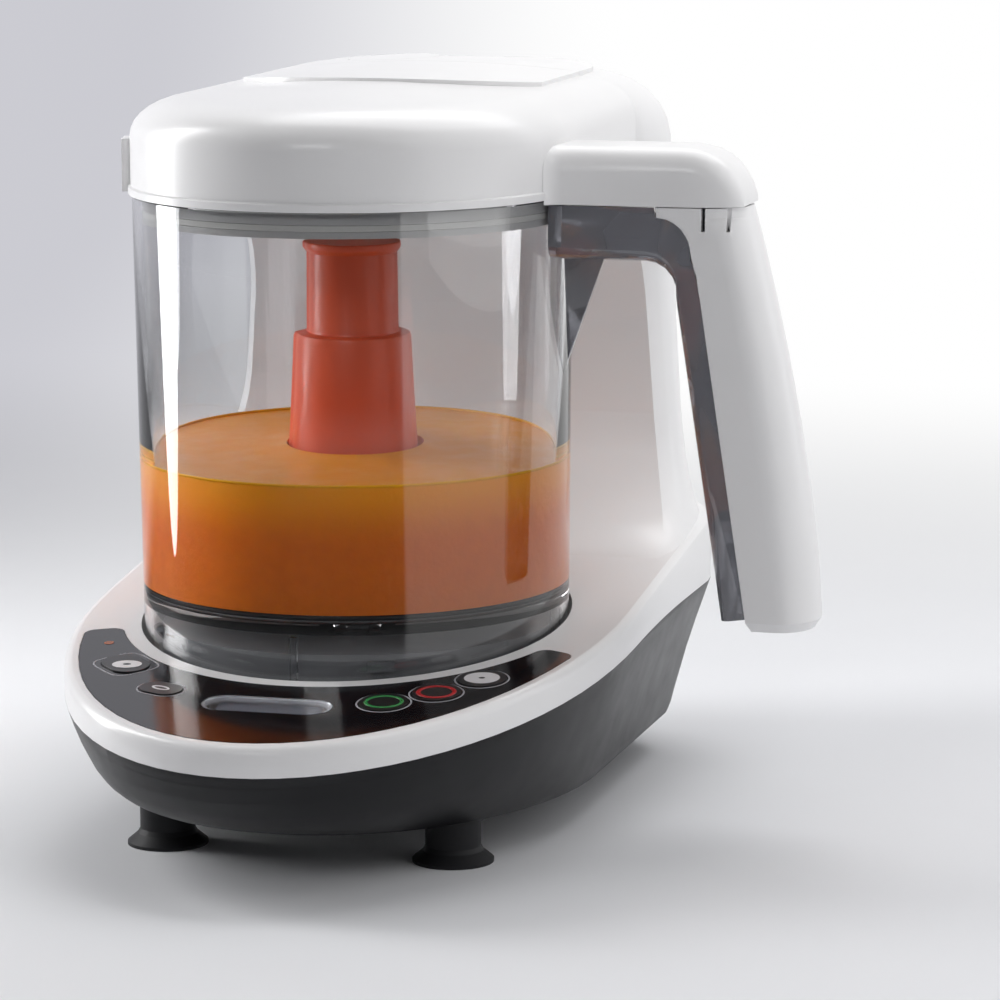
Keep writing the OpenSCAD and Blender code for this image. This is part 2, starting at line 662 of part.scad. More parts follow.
shaft_r = 2.5;
can_z = bracket_z + bracket_t + fit;
can_wall = 1.5;
pulley_z = 20;
shaft_foot_z = pulley_z - 1.5;
fan_z = can_z + motor_h + 2;
fan_h = 5;
fan_r = 13;
belt_t = 1.6;
belt_gap = 0.1;
press = 0.02;                            // between a pulley's bore and its shaft

module motor_can() color(steel) translate([motor_x, motor_y, can_z]) difference() {
    union() {
        cylinder(r = motor_r, h = motor_h, $fn = 96);
        translate([0, 0, -bracket_t - 1.5]) cylinder(r = 6, h = bracket_t + 2, $fn = 48);
    }
    translate([0, 0, can_wall]) cylinder(r = motor_r - can_wall, h = motor_h - 2 * can_wall, $fn = 96);
    translate([0, 0, -10]) cylinder(r = shaft_r + running_fit, h = motor_h + 20, $fn = 48);
}

module motor_bracket() color(steel) difference() {
    translate([motor_x - bracket_reach - 5, motor_y - 13, bracket_z])
        cube([2 * bracket_reach + 10, 28, bracket_t]);
    translate([motor_x, motor_y, bracket_z - cut]) cylinder(r = 6 + fit, h = 10, $fn = 48);
}

module motor_rotor() color(steel) translate([motor_x, motor_y, 0]) {
    translate([0, 0, shaft_foot_z]) cylinder(r = shaft_r, h = fan_z + fan_h - shaft_foot_z, $fn = 48);
    translate([0, 0, can_z + 9]) cylinder(r = motor_r - can_wall - 4, h = motor_h - 18, $fn = 64);
}

module motor_fan() color(charcoal) translate([motor_x, motor_y, fan_z]) difference() {
    union() {
        cylinder(r = 5, h = fan_h, $fn = 48);
        cylinder(r = fan_r, h = 1, $fn = 64);
        for (a = [0 : 40 : 320]) rotate(a) translate([3.5, -0.5, 0]) cube([fan_r - 4, 1, fan_h]);
    }
    translate([0, 0, -cut]) cylinder(r = shaft_r + press, h = fan_h + 2 * cut, $fn = 48);
}

// Belt pulley with two flanges, its foot at z = 0.
module pulley(r, bore) difference() {
    union() {
        cylinder(r = r, h = pulley_h, $fn = 96);
        for (z = [0, pulley_h - 1]) translate([0, 0, z]) cylinder(r = r + belt_t, h = 1, $fn = 96);
    }
    translate([0, 0, -cut]) cylinder(r = bore + press, h = pulley_h + 2 * cut, $fn = 48);
}
module pinion_pulley() color(steel) translate([motor_x, motor_y, pulley_z]) pulley(pulley_small_r, shaft_r);
module spindle_pulley() color(charcoal) difference() {
    translate([0, 0, pulley_z]) pulley(pulley_big_r, spindle_r);
    for (a = [0 : 60 : 300]) rotate(a) translate([(pulley_big_r + spindle_r) / 2, 0, pulley_z - cut])
        cylinder(r = 4.5, h = pulley_h + 2 * cut, $fn = 32);
}

// The belt's outline round both pulleys, standing off their rims by d; the pinion lies along +X.
centre_distance = sqrt(pow(motor_x, 2) + pow(motor_y, 2));
belt_angle = atan2(motor_y, motor_x);
function belt_points(d) = let (
    big = pulley_big_r + d,
    small = pulley_small_r + d,
    lean = asin((big - small) / centre_distance),
    turn = 90 - lean)
    concat([for (i = [0 : 40]) let (t = turn + (360 - 2 * turn) * i / 40) big * [cos(t), sin(t)]],
        [for (i = [0 : 20]) let (t = -turn + 2 * turn * i / 20) [centre_distance, 0] + small * [cos(t),
            sin(t)]]);
module drive_belt() color(rubber) translate([0, 0, pulley_z + 1.2]) rotate(belt_angle)
    linear_extrude(pulley_h - 2.4) difference() {
        polygon(belt_points(belt_gap + belt_t));
        polygon(belt_points(belt_gap));
    }

hex_z = 158;
hex_h = 14;
hex_r = hex_af / sqrt(3);
module spindle() color(steel) {
    translate([0, 0, shaft_foot_z]) cylinder(r = spindle_r, h = hex_z - shaft_foot_z + cut, $fn = 64);
    translate([0, 0, hex_z]) cylinder(r = hex_r, h = hex_h, $fn = 6);
}

// ---- base: steam ---------------------------------------------------------------------------------

tube_r = 3;
tube_wall = 0.8;
tank_x0 = -60;
tank_x1 = 20;
tank_y0 = tower_front + 4;
tank_y1 = 134;
tank_top_z = 204;
tank_wall = 2;
tank_z = shelf_z + shelf_t + fit;
outlet_y = boiler_y + 2;

module boiler() color(steel) {
    translate([boiler_x, boiler_y, boiler_z + fit + boiler_size[2] / 2]) cube(boiler_size, center = true);
    translate([boiler_x + 8, outlet_y, boiler_z + boiler_size[2]])
        cylinder(r = tube_r + 2, h = 5, $fn = 32);
    translate([boiler_x - 8, outlet_y, boiler_z + boiler_size[2]])
        cylinder(r = tube_r + 2, h = 5, $fn = 32);
}

module water_tank() color([0.8, 0.85, 0.9, 0.6]) difference() {
    union() {
        translate([tank_x0, tank_y0, tank_z])
            cube([tank_x1 - tank_x0, tank_y1 - tank_y0, tank_top_z - tank_z]);
        translate([cap_x, cap_y, tank_top_z - cut])
            cylinder(r = neck_r, h = neck_top_z - tank_top_z + cut, $fn = 64);
    }
    translate([tank_x0 + tank_wall, tank_y0 + tank_wall, tank_z + tank_wall])
        cube([tank_x1 - tank_x0 - 2 * tank_wall, tank_y1 - tank_y0 - 2 * tank_wall,
            tank_top_z - tank_z - 2 * tank_wall]);
    translate([cap_x, cap_y, tank_top_z - 10]) cylinder(r = neck_r - tank_wall, h = 40, $fn = 64);
    translate([tank_x1 - 8, outlet_y, tank_z - cut])
        cylinder(r = tube_r - tube_wall, h = tank_wall + 2 * cut, $fn = 32);
}
neck_r = 12;
neck_top_z = 224.5;
seal_t = 1.2;
module tank_cap() color(white) {
    intersection() {
        translate([cap_x, cap_y, neck_top_z + seal_t + 2 * fit]) cylinder(r = cap_r, h = 8, $fn = 64);
        along_y(head_front, base_rear) crown_section();
    }
    translate([cap_x, cap_y, neck_top_z - 4]) ring(neck_r - tank_wall - 0.3, neck_r - tank_wall - 2, 7);
}
module tank_cap_seal() color(rubber) translate([cap_x, cap_y, neck_top_z + fit])
    ring(neck_r, neck_r - tank_wall + fit, seal_t);

// A hose along the points, hollow, with a wall of tube_wall.
hose_sides = 10;
function unit(v) = v / norm(v);
function hose_ring(points, k, r) = let (
    last = len(points) - 1,
    before = k == 0 ? points[1] - points[0] : points[k] - points[k - 1],
    after = k == last ? before : points[k + 1] - points[k],
    along = unit(unit(before) + unit(after)),
    side = unit(cross(along, [0.31, 0.9, 0.3])),
    up = cross(side, along))
    [for (i = [0 : hose_sides - 1]) let (t = 360 * i / hose_sides) points[k] + r * (cos(t) * side - sin(t) * up)];
function eased(points) = [for (k = [0 : len(points) - 1]) each (k == 0 || k == len(points) - 1) ? [points[k]]
    : let (a = points[k - 1], b = points[k], c = points[k + 1],
        near = min(9, norm(a - b) / 2.2, norm(c - b) / 2.2),
        p = b + near * unit(a - b), q = b + near * unit(c - b))
        [for (s = [0 : 3]) let (u = s / 3) (1 - u) * (1 - u) * p + 2 * u * (1 - u) * b + u * u * q]];
module hose(points) {
    path = eased(points);
    last = len(path) - 1;
    longer = concat([path[0] + unit(path[0] - path[1])], [for (k = [1 : last - 1]) path[k]],
        [path[last] + unit(path[last] - path[last - 1])]);
    difference() {
        loft([for (k = [0 : last]) hose_ring(path, k, tube_r)]);
        loft([for (k = [0 : last]) hose_ring(longer, k, tube_r - tube_wall)]);
    }
}
module water_tube() color([0.85, 0.85, 0.85])
    hose([[tank_x1 - 8, outlet_y, tank_z - fit], [tank_x1 - 8, outlet_y, 100],
    [boiler_x - 8, outlet_y, 94], [boiler_x - 8, outlet_y, boiler_z + boiler_size[2] + 5.2]]);
module steam_tube() color([0.85, 0.6, 0.5]) hose([[boiler_x + 8, outlet_y, boiler_z + boiler_size[2] + 5.2],
    [boiler_x + 8, outlet_y, 190], [boiler_x + 2, 104, port_z], [0, 104, port_z],
        [0, head_front + 10.2, port_z]]);
module steam_nozzle() color(grey) translate([0, head_front, port_z]) rotate([-90, 0, 0]) difference() {
    union() {
        cylinder(r = port_r, h = 6, $fn = 48);
        translate([0, 0, wall + fit]) cylinder(r = port_r + 2, h = 2, $fn = 48);
        cylinder(r = tube_r, h = 10, $fn = 48);
    }
    translate([0, 0, -cut]) cylinder(r = tube_r - tube_wall, h = 20, $fn = 48);
}
module lid_switch() color([0.15, 0.15, 0.15]) translate([-7, head_front + wall + 5.2, plunger_z - 6])
    cube([14, 7, 12]);
module lid_plunger() color(grey) translate([0, head_front, plunger_z]) rotate([-90, 0, 0]) {
    translate([0, 0, -1.6]) cylinder(r = plunger_r, h = wall + 4.5, $fn = 48);
    translate([0, 0, wall + fit]) cylinder(r = plunger_r + 1.5, h = 1.5, $fn = 48);
}
module cord_grommet() color(rubber) translate([inlet_x, inlet_y, inlet_z]) rotate([90, 0, 0]) difference() {
    union() {
        translate([0, 0, -4]) cylinder(r = inlet_r - fit, h = 12, $fn = 48);
        translate([0, 0, -5.5]) cylinder(r = inlet_r + 2, h = 2.5, $fn = 48);
    }
    translate([0, 0, -10]) cylinder(r = 3.2, h = 30, $fn = 32);
}

// ---- bowl ----------------------------------------------------------------------------------------

post_top_z = bowl_foot_z + post_h;
rib_depth = 2;
bayonet_count = 4;
handle_top_z = rim_z - 1.5;
bend_x = 95.8;
bend_in_r = 9.7;
bend_out_x = 99.5;
bend_out_z = handle_top_z - 14;
bend_out_r = 11;
rail_lean = 8.25;
bend_z = handle_top_z - bridge_h - bend_in_r;
rail_round = 4;
bridge_start = 60;

// At the grip's two screws, on the rail's inner face, with z pointing into the grip.
module at_grip_screws() for (z = [92, 148]) translate([rail_back(z) - rail_t / cos(rail_lean), 0, z])
    rotate([0, 90 + rail_lean, 0]) children();

// Inner and outer edge of the clear bar, seen from the front as [x, z]: bridge, bend, rail.
function rail_back(z) = rail_reach - tan(rail_lean) * (z - grip_foot_z);
bend_turns = [90, 70, 50, 30, 12, -rail_lean];
bar_edges = concat(
    [[[bridge_start, bend_z + bend_in_r], [bridge_start, handle_top_z]],
     [[bend_x - 1, bend_z + bend_in_r], [bend_out_x - 0.4, handle_top_z]]],
    [for (t = bend_turns) [[bend_x + bend_in_r * cos(t), bend_z + bend_in_r * sin(t)],
        [bend_out_x + bend_out_r * cos(t), bend_out_z + bend_out_r * sin(t)]]],
    [for (s = [[30, 20], [38, 34], [56, 54.8], [86, 84.8], [handle_top_z - grip_foot_z - 2.9,
        handle_top_z - grip_foot_z - 4]])
        let (p = handle_top_z - s[0], q = handle_top_z - s[1])
        [[rail_back(p) - rail_t / cos(rail_lean), p], [rail_back(q), q]]]);

// One closed ring of the bar drawn in by d: rounded at the inner edge, square at the outer one.
function bar_ring(edge, d, out) = let (
    u = unit(edge[1] - edge[0]),
    p = edge[0] + d * u,
    q = edge[1] + out * u,
    h = grip_w / 2 - d,
    r = rail_round - d / 2)
    concat([[q[0], h, q[1]], [q[0], -h, q[1]]],
        [for (i = [0 : 5]) let (t = 18 * i, e = p + (r - r * sin(t)) * u) [e[0], r - h - r * cos(t), e[1]]],
        [for (i = [5 : -1 : 0]) let (t = 18 * i, e = p + (r - r * sin(t)) * u) [e[0], h - r + r * cos(t),
            e[1]]]);
module bar() loft([for (e = bar_edges) bar_ring(e, 0, 0)]);
module bar_channel() {
    last = len(bar_edges) - 1;
    foot = bar_edges[last] + handle_wall * [unit(bar_edges[last - 1][0] - bar_edges[last][0]),
        unit(bar_edges[last - 1][1] - bar_edges[last][1])];
    start = [[bowl_r + handle_wall, bar_edges[0][0][1]], [bowl_r + handle_wall, handle_top_z]];
    edges = concat([start], [for (k = [1 : last - 1]) bar_edges[k]], [foot]);
    along_y(handle_wall - grip_w / 2, grip_w / 2 - handle_wall) polygon(concat(
        [for (e = edges) e[0] + handle_wall * unit(e[1] - e[0])],
        [for (k = [len(edges) - 1 : -1 : 0]) edges[k][1] + cut * unit(edges[k][1] - edges[k][0])]));
}

module bowl_body(d) rotate_extrude($fn = 160) polygon([[0, bowl_foot_z], [bowl_foot_r - d, bowl_foot_z],
    [bowl_r - d, rim_z + d], [0, rim_z + d]]);

module bowl() color(smoky) {
    difference() {
        union() {
            bowl_body(0);
            bar();
        }
        difference() {
            bar_channel();
            at_grip_screws() cylinder(r = 4, h = rail_t - 0.4, $fn = 32);
        }
        at_grip_screws() translate([0, 0, -cut])
            cylinder(r = screw_head_r + 0.3, h = screw_head_h + 0.4 + cut, $fn = 32);
        at_grip_screws() cylinder(r = screw_r + 0.3, h = rail_t + cut, $fn = 24);
        difference() {
            rotate_extrude($fn = 160) polygon([[0, floor_z], [bowl_r_at(floor_z) - bowl_wall - 3, floor_z],
                [bowl_r_at(floor_z) - bowl_wall - 0.9, floor_z + 0.9],
                    [bowl_r_at(floor_z) - bowl_wall, floor_z + 3],
                [bowl_r - bowl_wall, rim_z + cut], [0, rim_z + cut]]);
            cylinder(r = post_r, h = post_top_z, $fn = 64);
        }
        translate([0, 0, bowl_foot_z - cut])
            cylinder(r = bowl_foot_r - bowl_wall, h = skirt_h + cut, $fn = 120);
        cylinder(r = post_bore_r, h = post_top_z + cut, $fn = 64);
    }
    for (a = [0 : 360 / bayonet_count : 359]) rotate(a) {
        translate([bowl_foot_r - bowl_wall - rib_depth, -1, bowl_foot_z + 1])
            cube([rib_depth + 0.6, 2, skirt_h - 2]);
        translate([bowl_foot_r - bowl_wall - rib_depth, -9, bowl_foot_z + 1]) cube([rib_depth + 0.4, 9, 2]);
    }
    translate([0, 1, 0]) rotate([90, 0, 0]) linear_extrude(2)
        polygon([[bowl_r - 1.4, bend_z + bend_in_r + 1],
        [bowl_r + 13, bend_z + bend_in_r + 1], [bowl_r + 0.8, handle_top_z - bridge_h - 0.8 * gusset_h],
        [bowl_r - 1.4, handle_top_z - bridge_h - gusset_h]]);
}

// Front edge of the grip at height z, where it meets the clear bar's back.
function grip_front(z) = z < bend_out_z ? rail_back(z) + fit
    : z < bend_out_z + bend_out_r ? bend_out_x + sqrt(pow(bend_out_r + fit, 2) - pow(z - bend_out_z, 2))
    : bend_out_x + 0.4;
function grip_back(z) = grip_reach - grip_lean * pow(max(z - grip_foot_z,
    0) / (handle_top_z - grip_foot_z), 1.6);
grip_levels = [grip_foot_z + 3, 90, 110, 130, 150, 168, bend_out_z, bend_out_z + 4, bend_out_z + 7.5,
    bend_out_z + 9.6,
    bend_out_z + 10.6, bend_out_z + bend_out_r];
function grip_ring(z, front, d, zz) = let (
    back = grip_back(z) - d, h = grip_w / 2 - d, mid = front + 0.45 * (back - front))
    concat([[front, h, zz], [front, -h, zz]],
        [for (i = [0 : 14]) let (t = -90 + 180 * i / 14) [mid + (back - mid) * cos(t), h * sin(t), zz]]);
slot_xs = [114.3, 121.7];
module handle_grip() color(white) difference() {
    union() {
        grip_shell();
        at_grip_screws() translate([0, 0, rail_t + 0.3]) cylinder(r = 4, h = 21, $fn = 32);
    }
    at_grip_screws() translate([0, 0, rail_t - cut]) cylinder(r = screw_r, h = 10, $fn = 24);
    for (x = slot_xs) translate([x - 0.6, -grip_w / 2 - cut, handle_top_z - 7])
        cube([1.2, handle_wall + 3, 8]);
}
module grip_shell() difference() {
    loft(concat([grip_ring(grip_foot_z + 2, grip_front(grip_foot_z) + 1, 2, grip_foot_z)],
        [for (z = grip_levels) grip_ring(z, grip_front(z), 0, z)],
        [grip_ring(handle_top_z, grip_front(handle_top_z), 0, handle_top_z)]));
    loft(concat([for (z = grip_levels) grip_ring(z, grip_front(z) - (z < bend_out_z ? cut : -fit),
        handle_wall, z)],
        [grip_ring(handle_top_z, grip_front(handle_top_z) + handle_wall, handle_wall,
            handle_top_z + cut)]));
}

module grip_screws() color(steel) at_grip_screws() translate([0, 0, 0.4]) screw(14);

// ---- hub and blades ------------------------------------------------------------------------------

hub_foot_z = floor_z + 2.9;
hub_flange_z = hub_foot_z + 6;
hub_step_z = 152;
hub_top_z = 181.5;
hub_flange_r = hub_top_r + 0.8;
hub_bore_r = post_r + 0.35;
neck_wall_r = 14;
neck_foot_z = hub_foot_z;
insert_top_z = hex_z + hex_h + 4.3;
upper_blade_z = 97;
upper_blade_r = 44;
upper_slot_r = 14.6;

module blade_hub() color(terracotta) difference() {
    rotate_extrude($fn = 120) polygon([[hub_bore_r, neck_foot_z], [neck_wall_r, neck_foot_z],
        [neck_wall_r, hub_flange_z], [hub_foot_r, hub_flange_z], [hub_foot_r - 0.3, hub_flange_z + 6],
        [hub_foot_r - 1.2, 113], [hub_mid_r, hub_step_z - 1.2], [hub_mid_r - 1, hub_step_z],
        [hub_top_r - 0.1, hub_step_z + 0.4], [hub_top_r - 0.4, hub_top_z - 3],
            [hub_flange_r, hub_top_z - 2.4],
        [hub_flange_r, hub_top_z], [0, hub_top_z], [0, insert_top_z + fit],
            [hub_bore_r, insert_top_z + fit]]);
    translate([0, 0, upper_blade_z - 0.02]) difference() {
        cylinder(r = 30, h = blade_t + 0.04, $fn = 64);
        translate([0, 0, -cut]) cylinder(r = upper_slot_r, h = blade_t + 3, $fn = 64);
    }
}

module hub_insert() color(steel) difference() {
    translate([0, 0, post_top_z + 1.4])
        cylinder(r = hub_bore_r - 0.05, h = insert_top_z - post_top_z - 1.4, $fn = 64);
    translate([0, 0, post_top_z]) cylinder(r = (hex_af + hex_clearance) / sqrt(3),
        h = hex_z + hex_h + seat_gap - post_top_z, $fn = 6);
}

// One curved wing seen from above, from the hub out to reach; its cutting edge is on the convex side.
module wing(reach, root) {
    steps = 8;
    sweep = 42;
    polygon(concat(
        [for (i = [0 : steps]) let (s = i / steps, r = 8 + (reach - 8) * s,
            t = -sweep * s * s) [r * cos(t), r * sin(t) - root * (1 - s)]],
        [for (i = [steps : -1 : 0]) let (s = i / steps, r = 8 + (reach - 8) * s * 0.985,
            t = -sweep * s * s + 12 * (1 - s) + 3)
            [r * cos(t), r * sin(t) + root * (1 - s)]]));
}
module blade(reach, root, hole, disc) linear_extrude(blade_t) difference() {
    union() {
        circle(r = disc, $fn = 96);
        for (a = [0, 180]) rotate(a) wing(reach, root);
    }
    circle(r = hole, $fn = 96);
}
lower_blade_z = hub_flange_z - blade_t - fit;
module lower_blade() color(steel) translate([0, 0, lower_blade_z]) rotate(25)
    blade(blade_r, 9, neck_wall_r + press, hub_foot_r);
module upper_blade() color(steel) translate([0, 0, upper_blade_z]) rotate(115) difference() {
    blade(upper_blade_r, 7, upper_slot_r + press, hub_foot_r - 2);
}
module blade_retainer() color(charcoal) translate([0, 0, neck_foot_z])
    ring(hub_foot_r - 1, neck_wall_r + press, lower_blade_z - neck_foot_z - 0.05);

// ---- lid -----------------------------------------------------------------------------------------

tongue_end = head_front - seat_gap;
dome_rise = 3;
dome_flat_r = 10;
lid_steps = 44;
platform_front_y = 13;
platform_front_r = 57;

// Sections of the lid as [half width, height], drawn in by d: skirt, elliptical shoulder, low dome.
function lid_levels(d) = let (flat = shoulder_top_z - d, w = crown_half_w - d / 2) concat(
    d > 0 ? [[lid_r - d, lid_z - cut]] : [[lid_r + bead_out, lid_z], [lid_r + bead_out, lid_z + bead_h],
        [lid_r, lid_z + bead_h + 0.5]],
    [for (i = [8 : -1 : 0]) let (t = 90 * i / 8)
        [w + (lid_r - d - w) * sin(t), crease_z - d / 2 + (flat - crease_z + d / 2) * cos(t)]],
    [[w / 2, flat + dome_rise * 0.7], [dome_flat_r, flat + dome_rise]]);
// Round in front, straight from the bowl's axis back to the given end.
module lid_form(d, end) loft([for (s = lid_levels(d)) concat([[s[0], end, s[1]], [-s[0], end, s[1]]],
    [for (i = [0 : lid_steps]) let (t = 180 + 180 * i / lid_steps) [s[0] * cos(t), s[0] * sin(t), s[1]]])]);
// The flat top that runs back to the tower's head, with an arched front edge.
module lid_platform() intersection() {
    along_y(0, tongue_end) crown_section();
    translate([0, 0, shoulder_top_z - 2]) linear_extrude(20) intersection() {
        translate([-crown_half_w, 0]) square([2 * crown_half_w, tongue_end]);
        union() {
            translate([0, platform_front_y + platform_front_r]) circle(r = platform_front_r, $fn = 120);
            translate([-crown_half_w, platform_front_y + platform_front_r - 20])
                square([2 * crown_half_w, 80]);
        }
    }
}

arm_drop = 1.4;
arm_top_z = 213.5;
arm_root = 56;
arm_nose = 107;
arm_round = 8;
// Sections of the arm along X as [x, half width, top height].
arm_low_z = lid_z - arm_drop;
function arm_top_at(x) = arm_low_z + (arm_top_z - arm_low_z) * pow(sqrt(1 - pow(max(x - arm_nose,
    0) / (arm_reach - arm_nose), 2)), 0.85);
arm_sections = concat(
    [[arm_root, arm_w / 2 + 3, arm_top_z], [66, arm_w / 2 + 3, arm_top_z], [68, arm_w / 2 + 1.2, arm_top_z],
     [71, arm_w / 2, arm_top_z], [arm_nose - 12, arm_w / 2, arm_top_z]],
    [for (i = [0 : 7]) let (t = 90 * i / 7.6) [arm_nose + (arm_reach - arm_nose) * sin(t),
        arm_w / 2 - 6.5 * (1 - cos(t)), arm_low_z + (arm_top_z - arm_low_z) * pow(cos(t), 0.85)]]);
function arm_ring(s) = let (
    x = s[0], h = s[1], top = s[2], foot = arm_low_z, r = min(arm_round, (top - foot) * 0.9))
    concat([[x, h, foot]],
        [for (i = [0 : 5]) let (t = 18 * i) [x, h - r + r * cos(t), top - r + r * sin(t)]],
        [for (i = [0 : 5]) let (t = 18 * i) [x, r - h - r * sin(t), top - r + r * cos(t)]],
        [[x, -h, foot]]);
module arm() difference() {
    loft([for (s = arm_sections) arm_ring(s)]);
    translate([0, 0, lid_z - 20]) cylinder(r = lid_r + bead_out / 2, h = 20 + cut, $fn = 160);
}
// The arm's cavity in three steps under its rounded top, each as [half width, end along X, depth under the top].
module arm_cavity() for (c = [[arm_w / 2 - lid_wall, arm_nose + 4, 7], [11, arm_nose + 12, 4.6], [8.7,
    arm_reach - 3, lid_wall]])
    along_y(-c[0], c[0]) polygon(concat([[c[1], arm_low_z - cut], [arm_root - cut, arm_low_z - cut]],
        [[arm_root - cut, arm_top_z - c[2]]],
        [for (s = arm_sections) if (s[0] > arm_nose - 15 && s[0] < c[1]) [s[0], s[2] - c[2]]],
        [[c[1], arm_top_at(c[1]) - c[2]]]));

hook_x = (slot_xs[0] + slot_xs[1]) / 2;
hook_w = 4;
hook_t = 1.6;
// The hook's outer face and its root, which stay inside the grip's rounded back.
hook_y = -0.715 * (grip_w / 2 - handle_wall);
hook_root_y = -0.95 * (grip_w / 2 - handle_wall);
lug_w = 10;
lug_turn = 15;

module lid_shell() color(white) {
    difference() {
        union() {
            lid_form(0, tongue_end);
            lid_platform();
            arm();
            rotate(lug_turn) translate([-lid_r - 2.4, -lug_w / 2, lid_z + 0.4])
                cube([6, lug_w, lid_skirt_h - 1.4]);
        }
        lid_form(lid_wall, tongue_end - lid_wall);
        arm_cavity();
        translate([0, tongue_end - 10, port_z]) rotate([-90, 0, 0])
            cylinder(r = port_r + fit, h = 20, $fn = 32);
        translate([-5, tongue_end - 2.6 + cut, lid_z - cut]) cube([10, 4, plunger_z + 5 - lid_z]);
    }
    translate([hook_x - hook_w / 2, hook_y, arm_low_z - 8]) cube([hook_w, hook_t, 13]);
    translate([hook_x - hook_w / 2, hook_root_y, arm_low_z + 1])
        cube([hook_w, hook_y + hook_t - hook_root_y, 4]);
}

liner_r = bowl_r - bowl_wall - 0.5;
liner_depth = 8;
liner_plate_z = lid_z + 6;
module lid_liner() color(grey) difference() {
    union() {
        translate([0, 0, lid_z - liner_depth])
            ring(liner_r, liner_r - 2, liner_plate_z - lid_z + liner_depth);
        translate([0, 0, liner_plate_z - 2]) cylinder(r = liner_r, h = 2, $fn = 120);
        translate([0, duct_y, liner_plate_z - 1]) cylinder(r = port_r + 1.5, h = 4, $fn = 48);
    }
    translate([0, 0, lid_z - liner_depth + 2]) difference() {
        cylinder(r = liner_r + 2, h = 2, $fn = 120);
        translate([0, 0, -cut]) cylinder(r = liner_r - 1, h = 5, $fn = 120);
    }
    translate([0, duct_y, liner_plate_z - 10]) cylinder(r = port_r, h = 20, $fn = 48);
}
duct_y = 44;
module lid_gasket() color([0.8, 0.8, 0.8]) translate([0, 0, lid_z - liner_depth + 2.1])
    ring(liner_r + 0.1, liner_r - 0.9, 1.8);

duct_points = [[0, tongue_end, port_z], [0, duct_y + 6, port_z], [0, duct_y, liner_plate_z + 4], [0,
    duct_y, liner_plate_z - 1]];
module steam_duct() color(grey) difference() {
    union() {
        translate([0, tongue_end, port_z]) rotate([90, 0, 0])
            cylinder(r = port_r, h = tongue_end - duct_y, $fn = 48);
        translate([0, duct_y, liner_plate_z - 1])
            cylinder(r = port_r - 0.8, h = port_z - liner_plate_z + 1, $fn = 48);
    }
    translate([0, tongue_end + cut, port_z]) rotate([90, 0, 0])
        cylinder(r = port_r - 1.2, h = tongue_end - duct_y, $fn = 48);
    translate([0, duct_y, liner_plate_z - 2])
        cylinder(r = port_r - 1.8, h = port_z - liner_plate_z + 2, $fn = 48);
}

base_tub();
top_shell();
tower_back();
drive_seat();
control_panel();
display_window();
display_module();
status_led();
control_board();
key_switches();
suction_feet();
shell_screws();
seat_screws();
motor_can();
motor_bracket();
drive_belt();
spindle_bearings();
spindle_seal();
boiler();
water_tank();
water_tube();
steam_tube();
steam_nozzle();
lid_switch();
cord_grommet();
lid_plunger();
tank_cap();
tank_cap_seal();
key_steam();
key_blend();
key_start();
key_stop();
key_mode();
motor_rotor();
motor_fan();
pinion_pulley();
spindle();
spindle_pulley();
bowl();
handle_grip();
grip_screws();
blade_hub();
hub_insert();
lower_blade();
upper_blade();
blade_retainer();
lid_shell();
lid_liner();
lid_gasket();
steam_duct();
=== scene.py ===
# %% [markdown]
# # A countertop baby food maker
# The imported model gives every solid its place, in metres: the bowl's axis is the origin, the table is
# z = 0, the controls face -Y and the handle points to +X. This script dresses those solids. Anything
# that is built here is drawn straight into that frame, so nothing has to be fitted afterwards.

# %% Frame
import bpy, bmesh, json, math
from mathutils import Matrix, Vector


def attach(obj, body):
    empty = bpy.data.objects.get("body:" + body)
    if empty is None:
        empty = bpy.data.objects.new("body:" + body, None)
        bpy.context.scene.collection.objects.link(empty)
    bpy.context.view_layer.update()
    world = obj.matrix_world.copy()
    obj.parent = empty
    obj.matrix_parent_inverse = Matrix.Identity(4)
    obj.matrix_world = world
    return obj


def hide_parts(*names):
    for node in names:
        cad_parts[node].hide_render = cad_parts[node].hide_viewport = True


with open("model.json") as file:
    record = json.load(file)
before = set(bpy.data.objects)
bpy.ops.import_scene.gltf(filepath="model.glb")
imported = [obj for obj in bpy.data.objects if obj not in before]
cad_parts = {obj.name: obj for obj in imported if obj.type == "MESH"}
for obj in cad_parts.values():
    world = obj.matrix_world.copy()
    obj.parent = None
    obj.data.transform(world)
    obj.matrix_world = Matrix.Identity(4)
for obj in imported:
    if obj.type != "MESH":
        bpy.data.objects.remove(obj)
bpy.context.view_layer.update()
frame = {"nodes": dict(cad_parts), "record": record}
nodes = frame["nodes"]

# %% [markdown]
# The camera comes first, because every later choice is judged through it. A long lens from a little
# above keeps the sides of the machine nearly parallel. Three unit vectors turn it: Blender's camera
# looks along its own -Z, with +X to the right and +Y up.

# %% Camera
look = Vector((-0.265782, 0.949355, -0.167583))
right = Vector((0.963209, 0.268698, -0.005450))
up = Vector((-0.039855, 0.162866, 0.985843))
camera_data = bpy.data.cameras.new("camera")
camera_data.lens, camera_data.sensor_width = 162.04, 36
camera = bpy.data.objects.new("camera", camera_data)
bpy.context.scene.collection.objects.link(camera)
camera.matrix_world = Matrix.Translation((0.4170, -1.32256, 0.33566)) @ Matrix((
    (right.x, up.x, -look.x), (right.y, up.y, -look.y), (right.z, up.z, -look.z))).to_4x4()
bpy.context.scene.camera = camera
print("camera at", tuple(round(v, 3) for v in camera.location))

# %% [markdown]
# A material in Blender is a tree of nodes. Three helpers keep the trees short to write: one starts a
# material round the Principled shader, one adds a node with its options set, and one joins two
# sockets. Geometry Nodes are built the same way, so the last two serve for them as well.

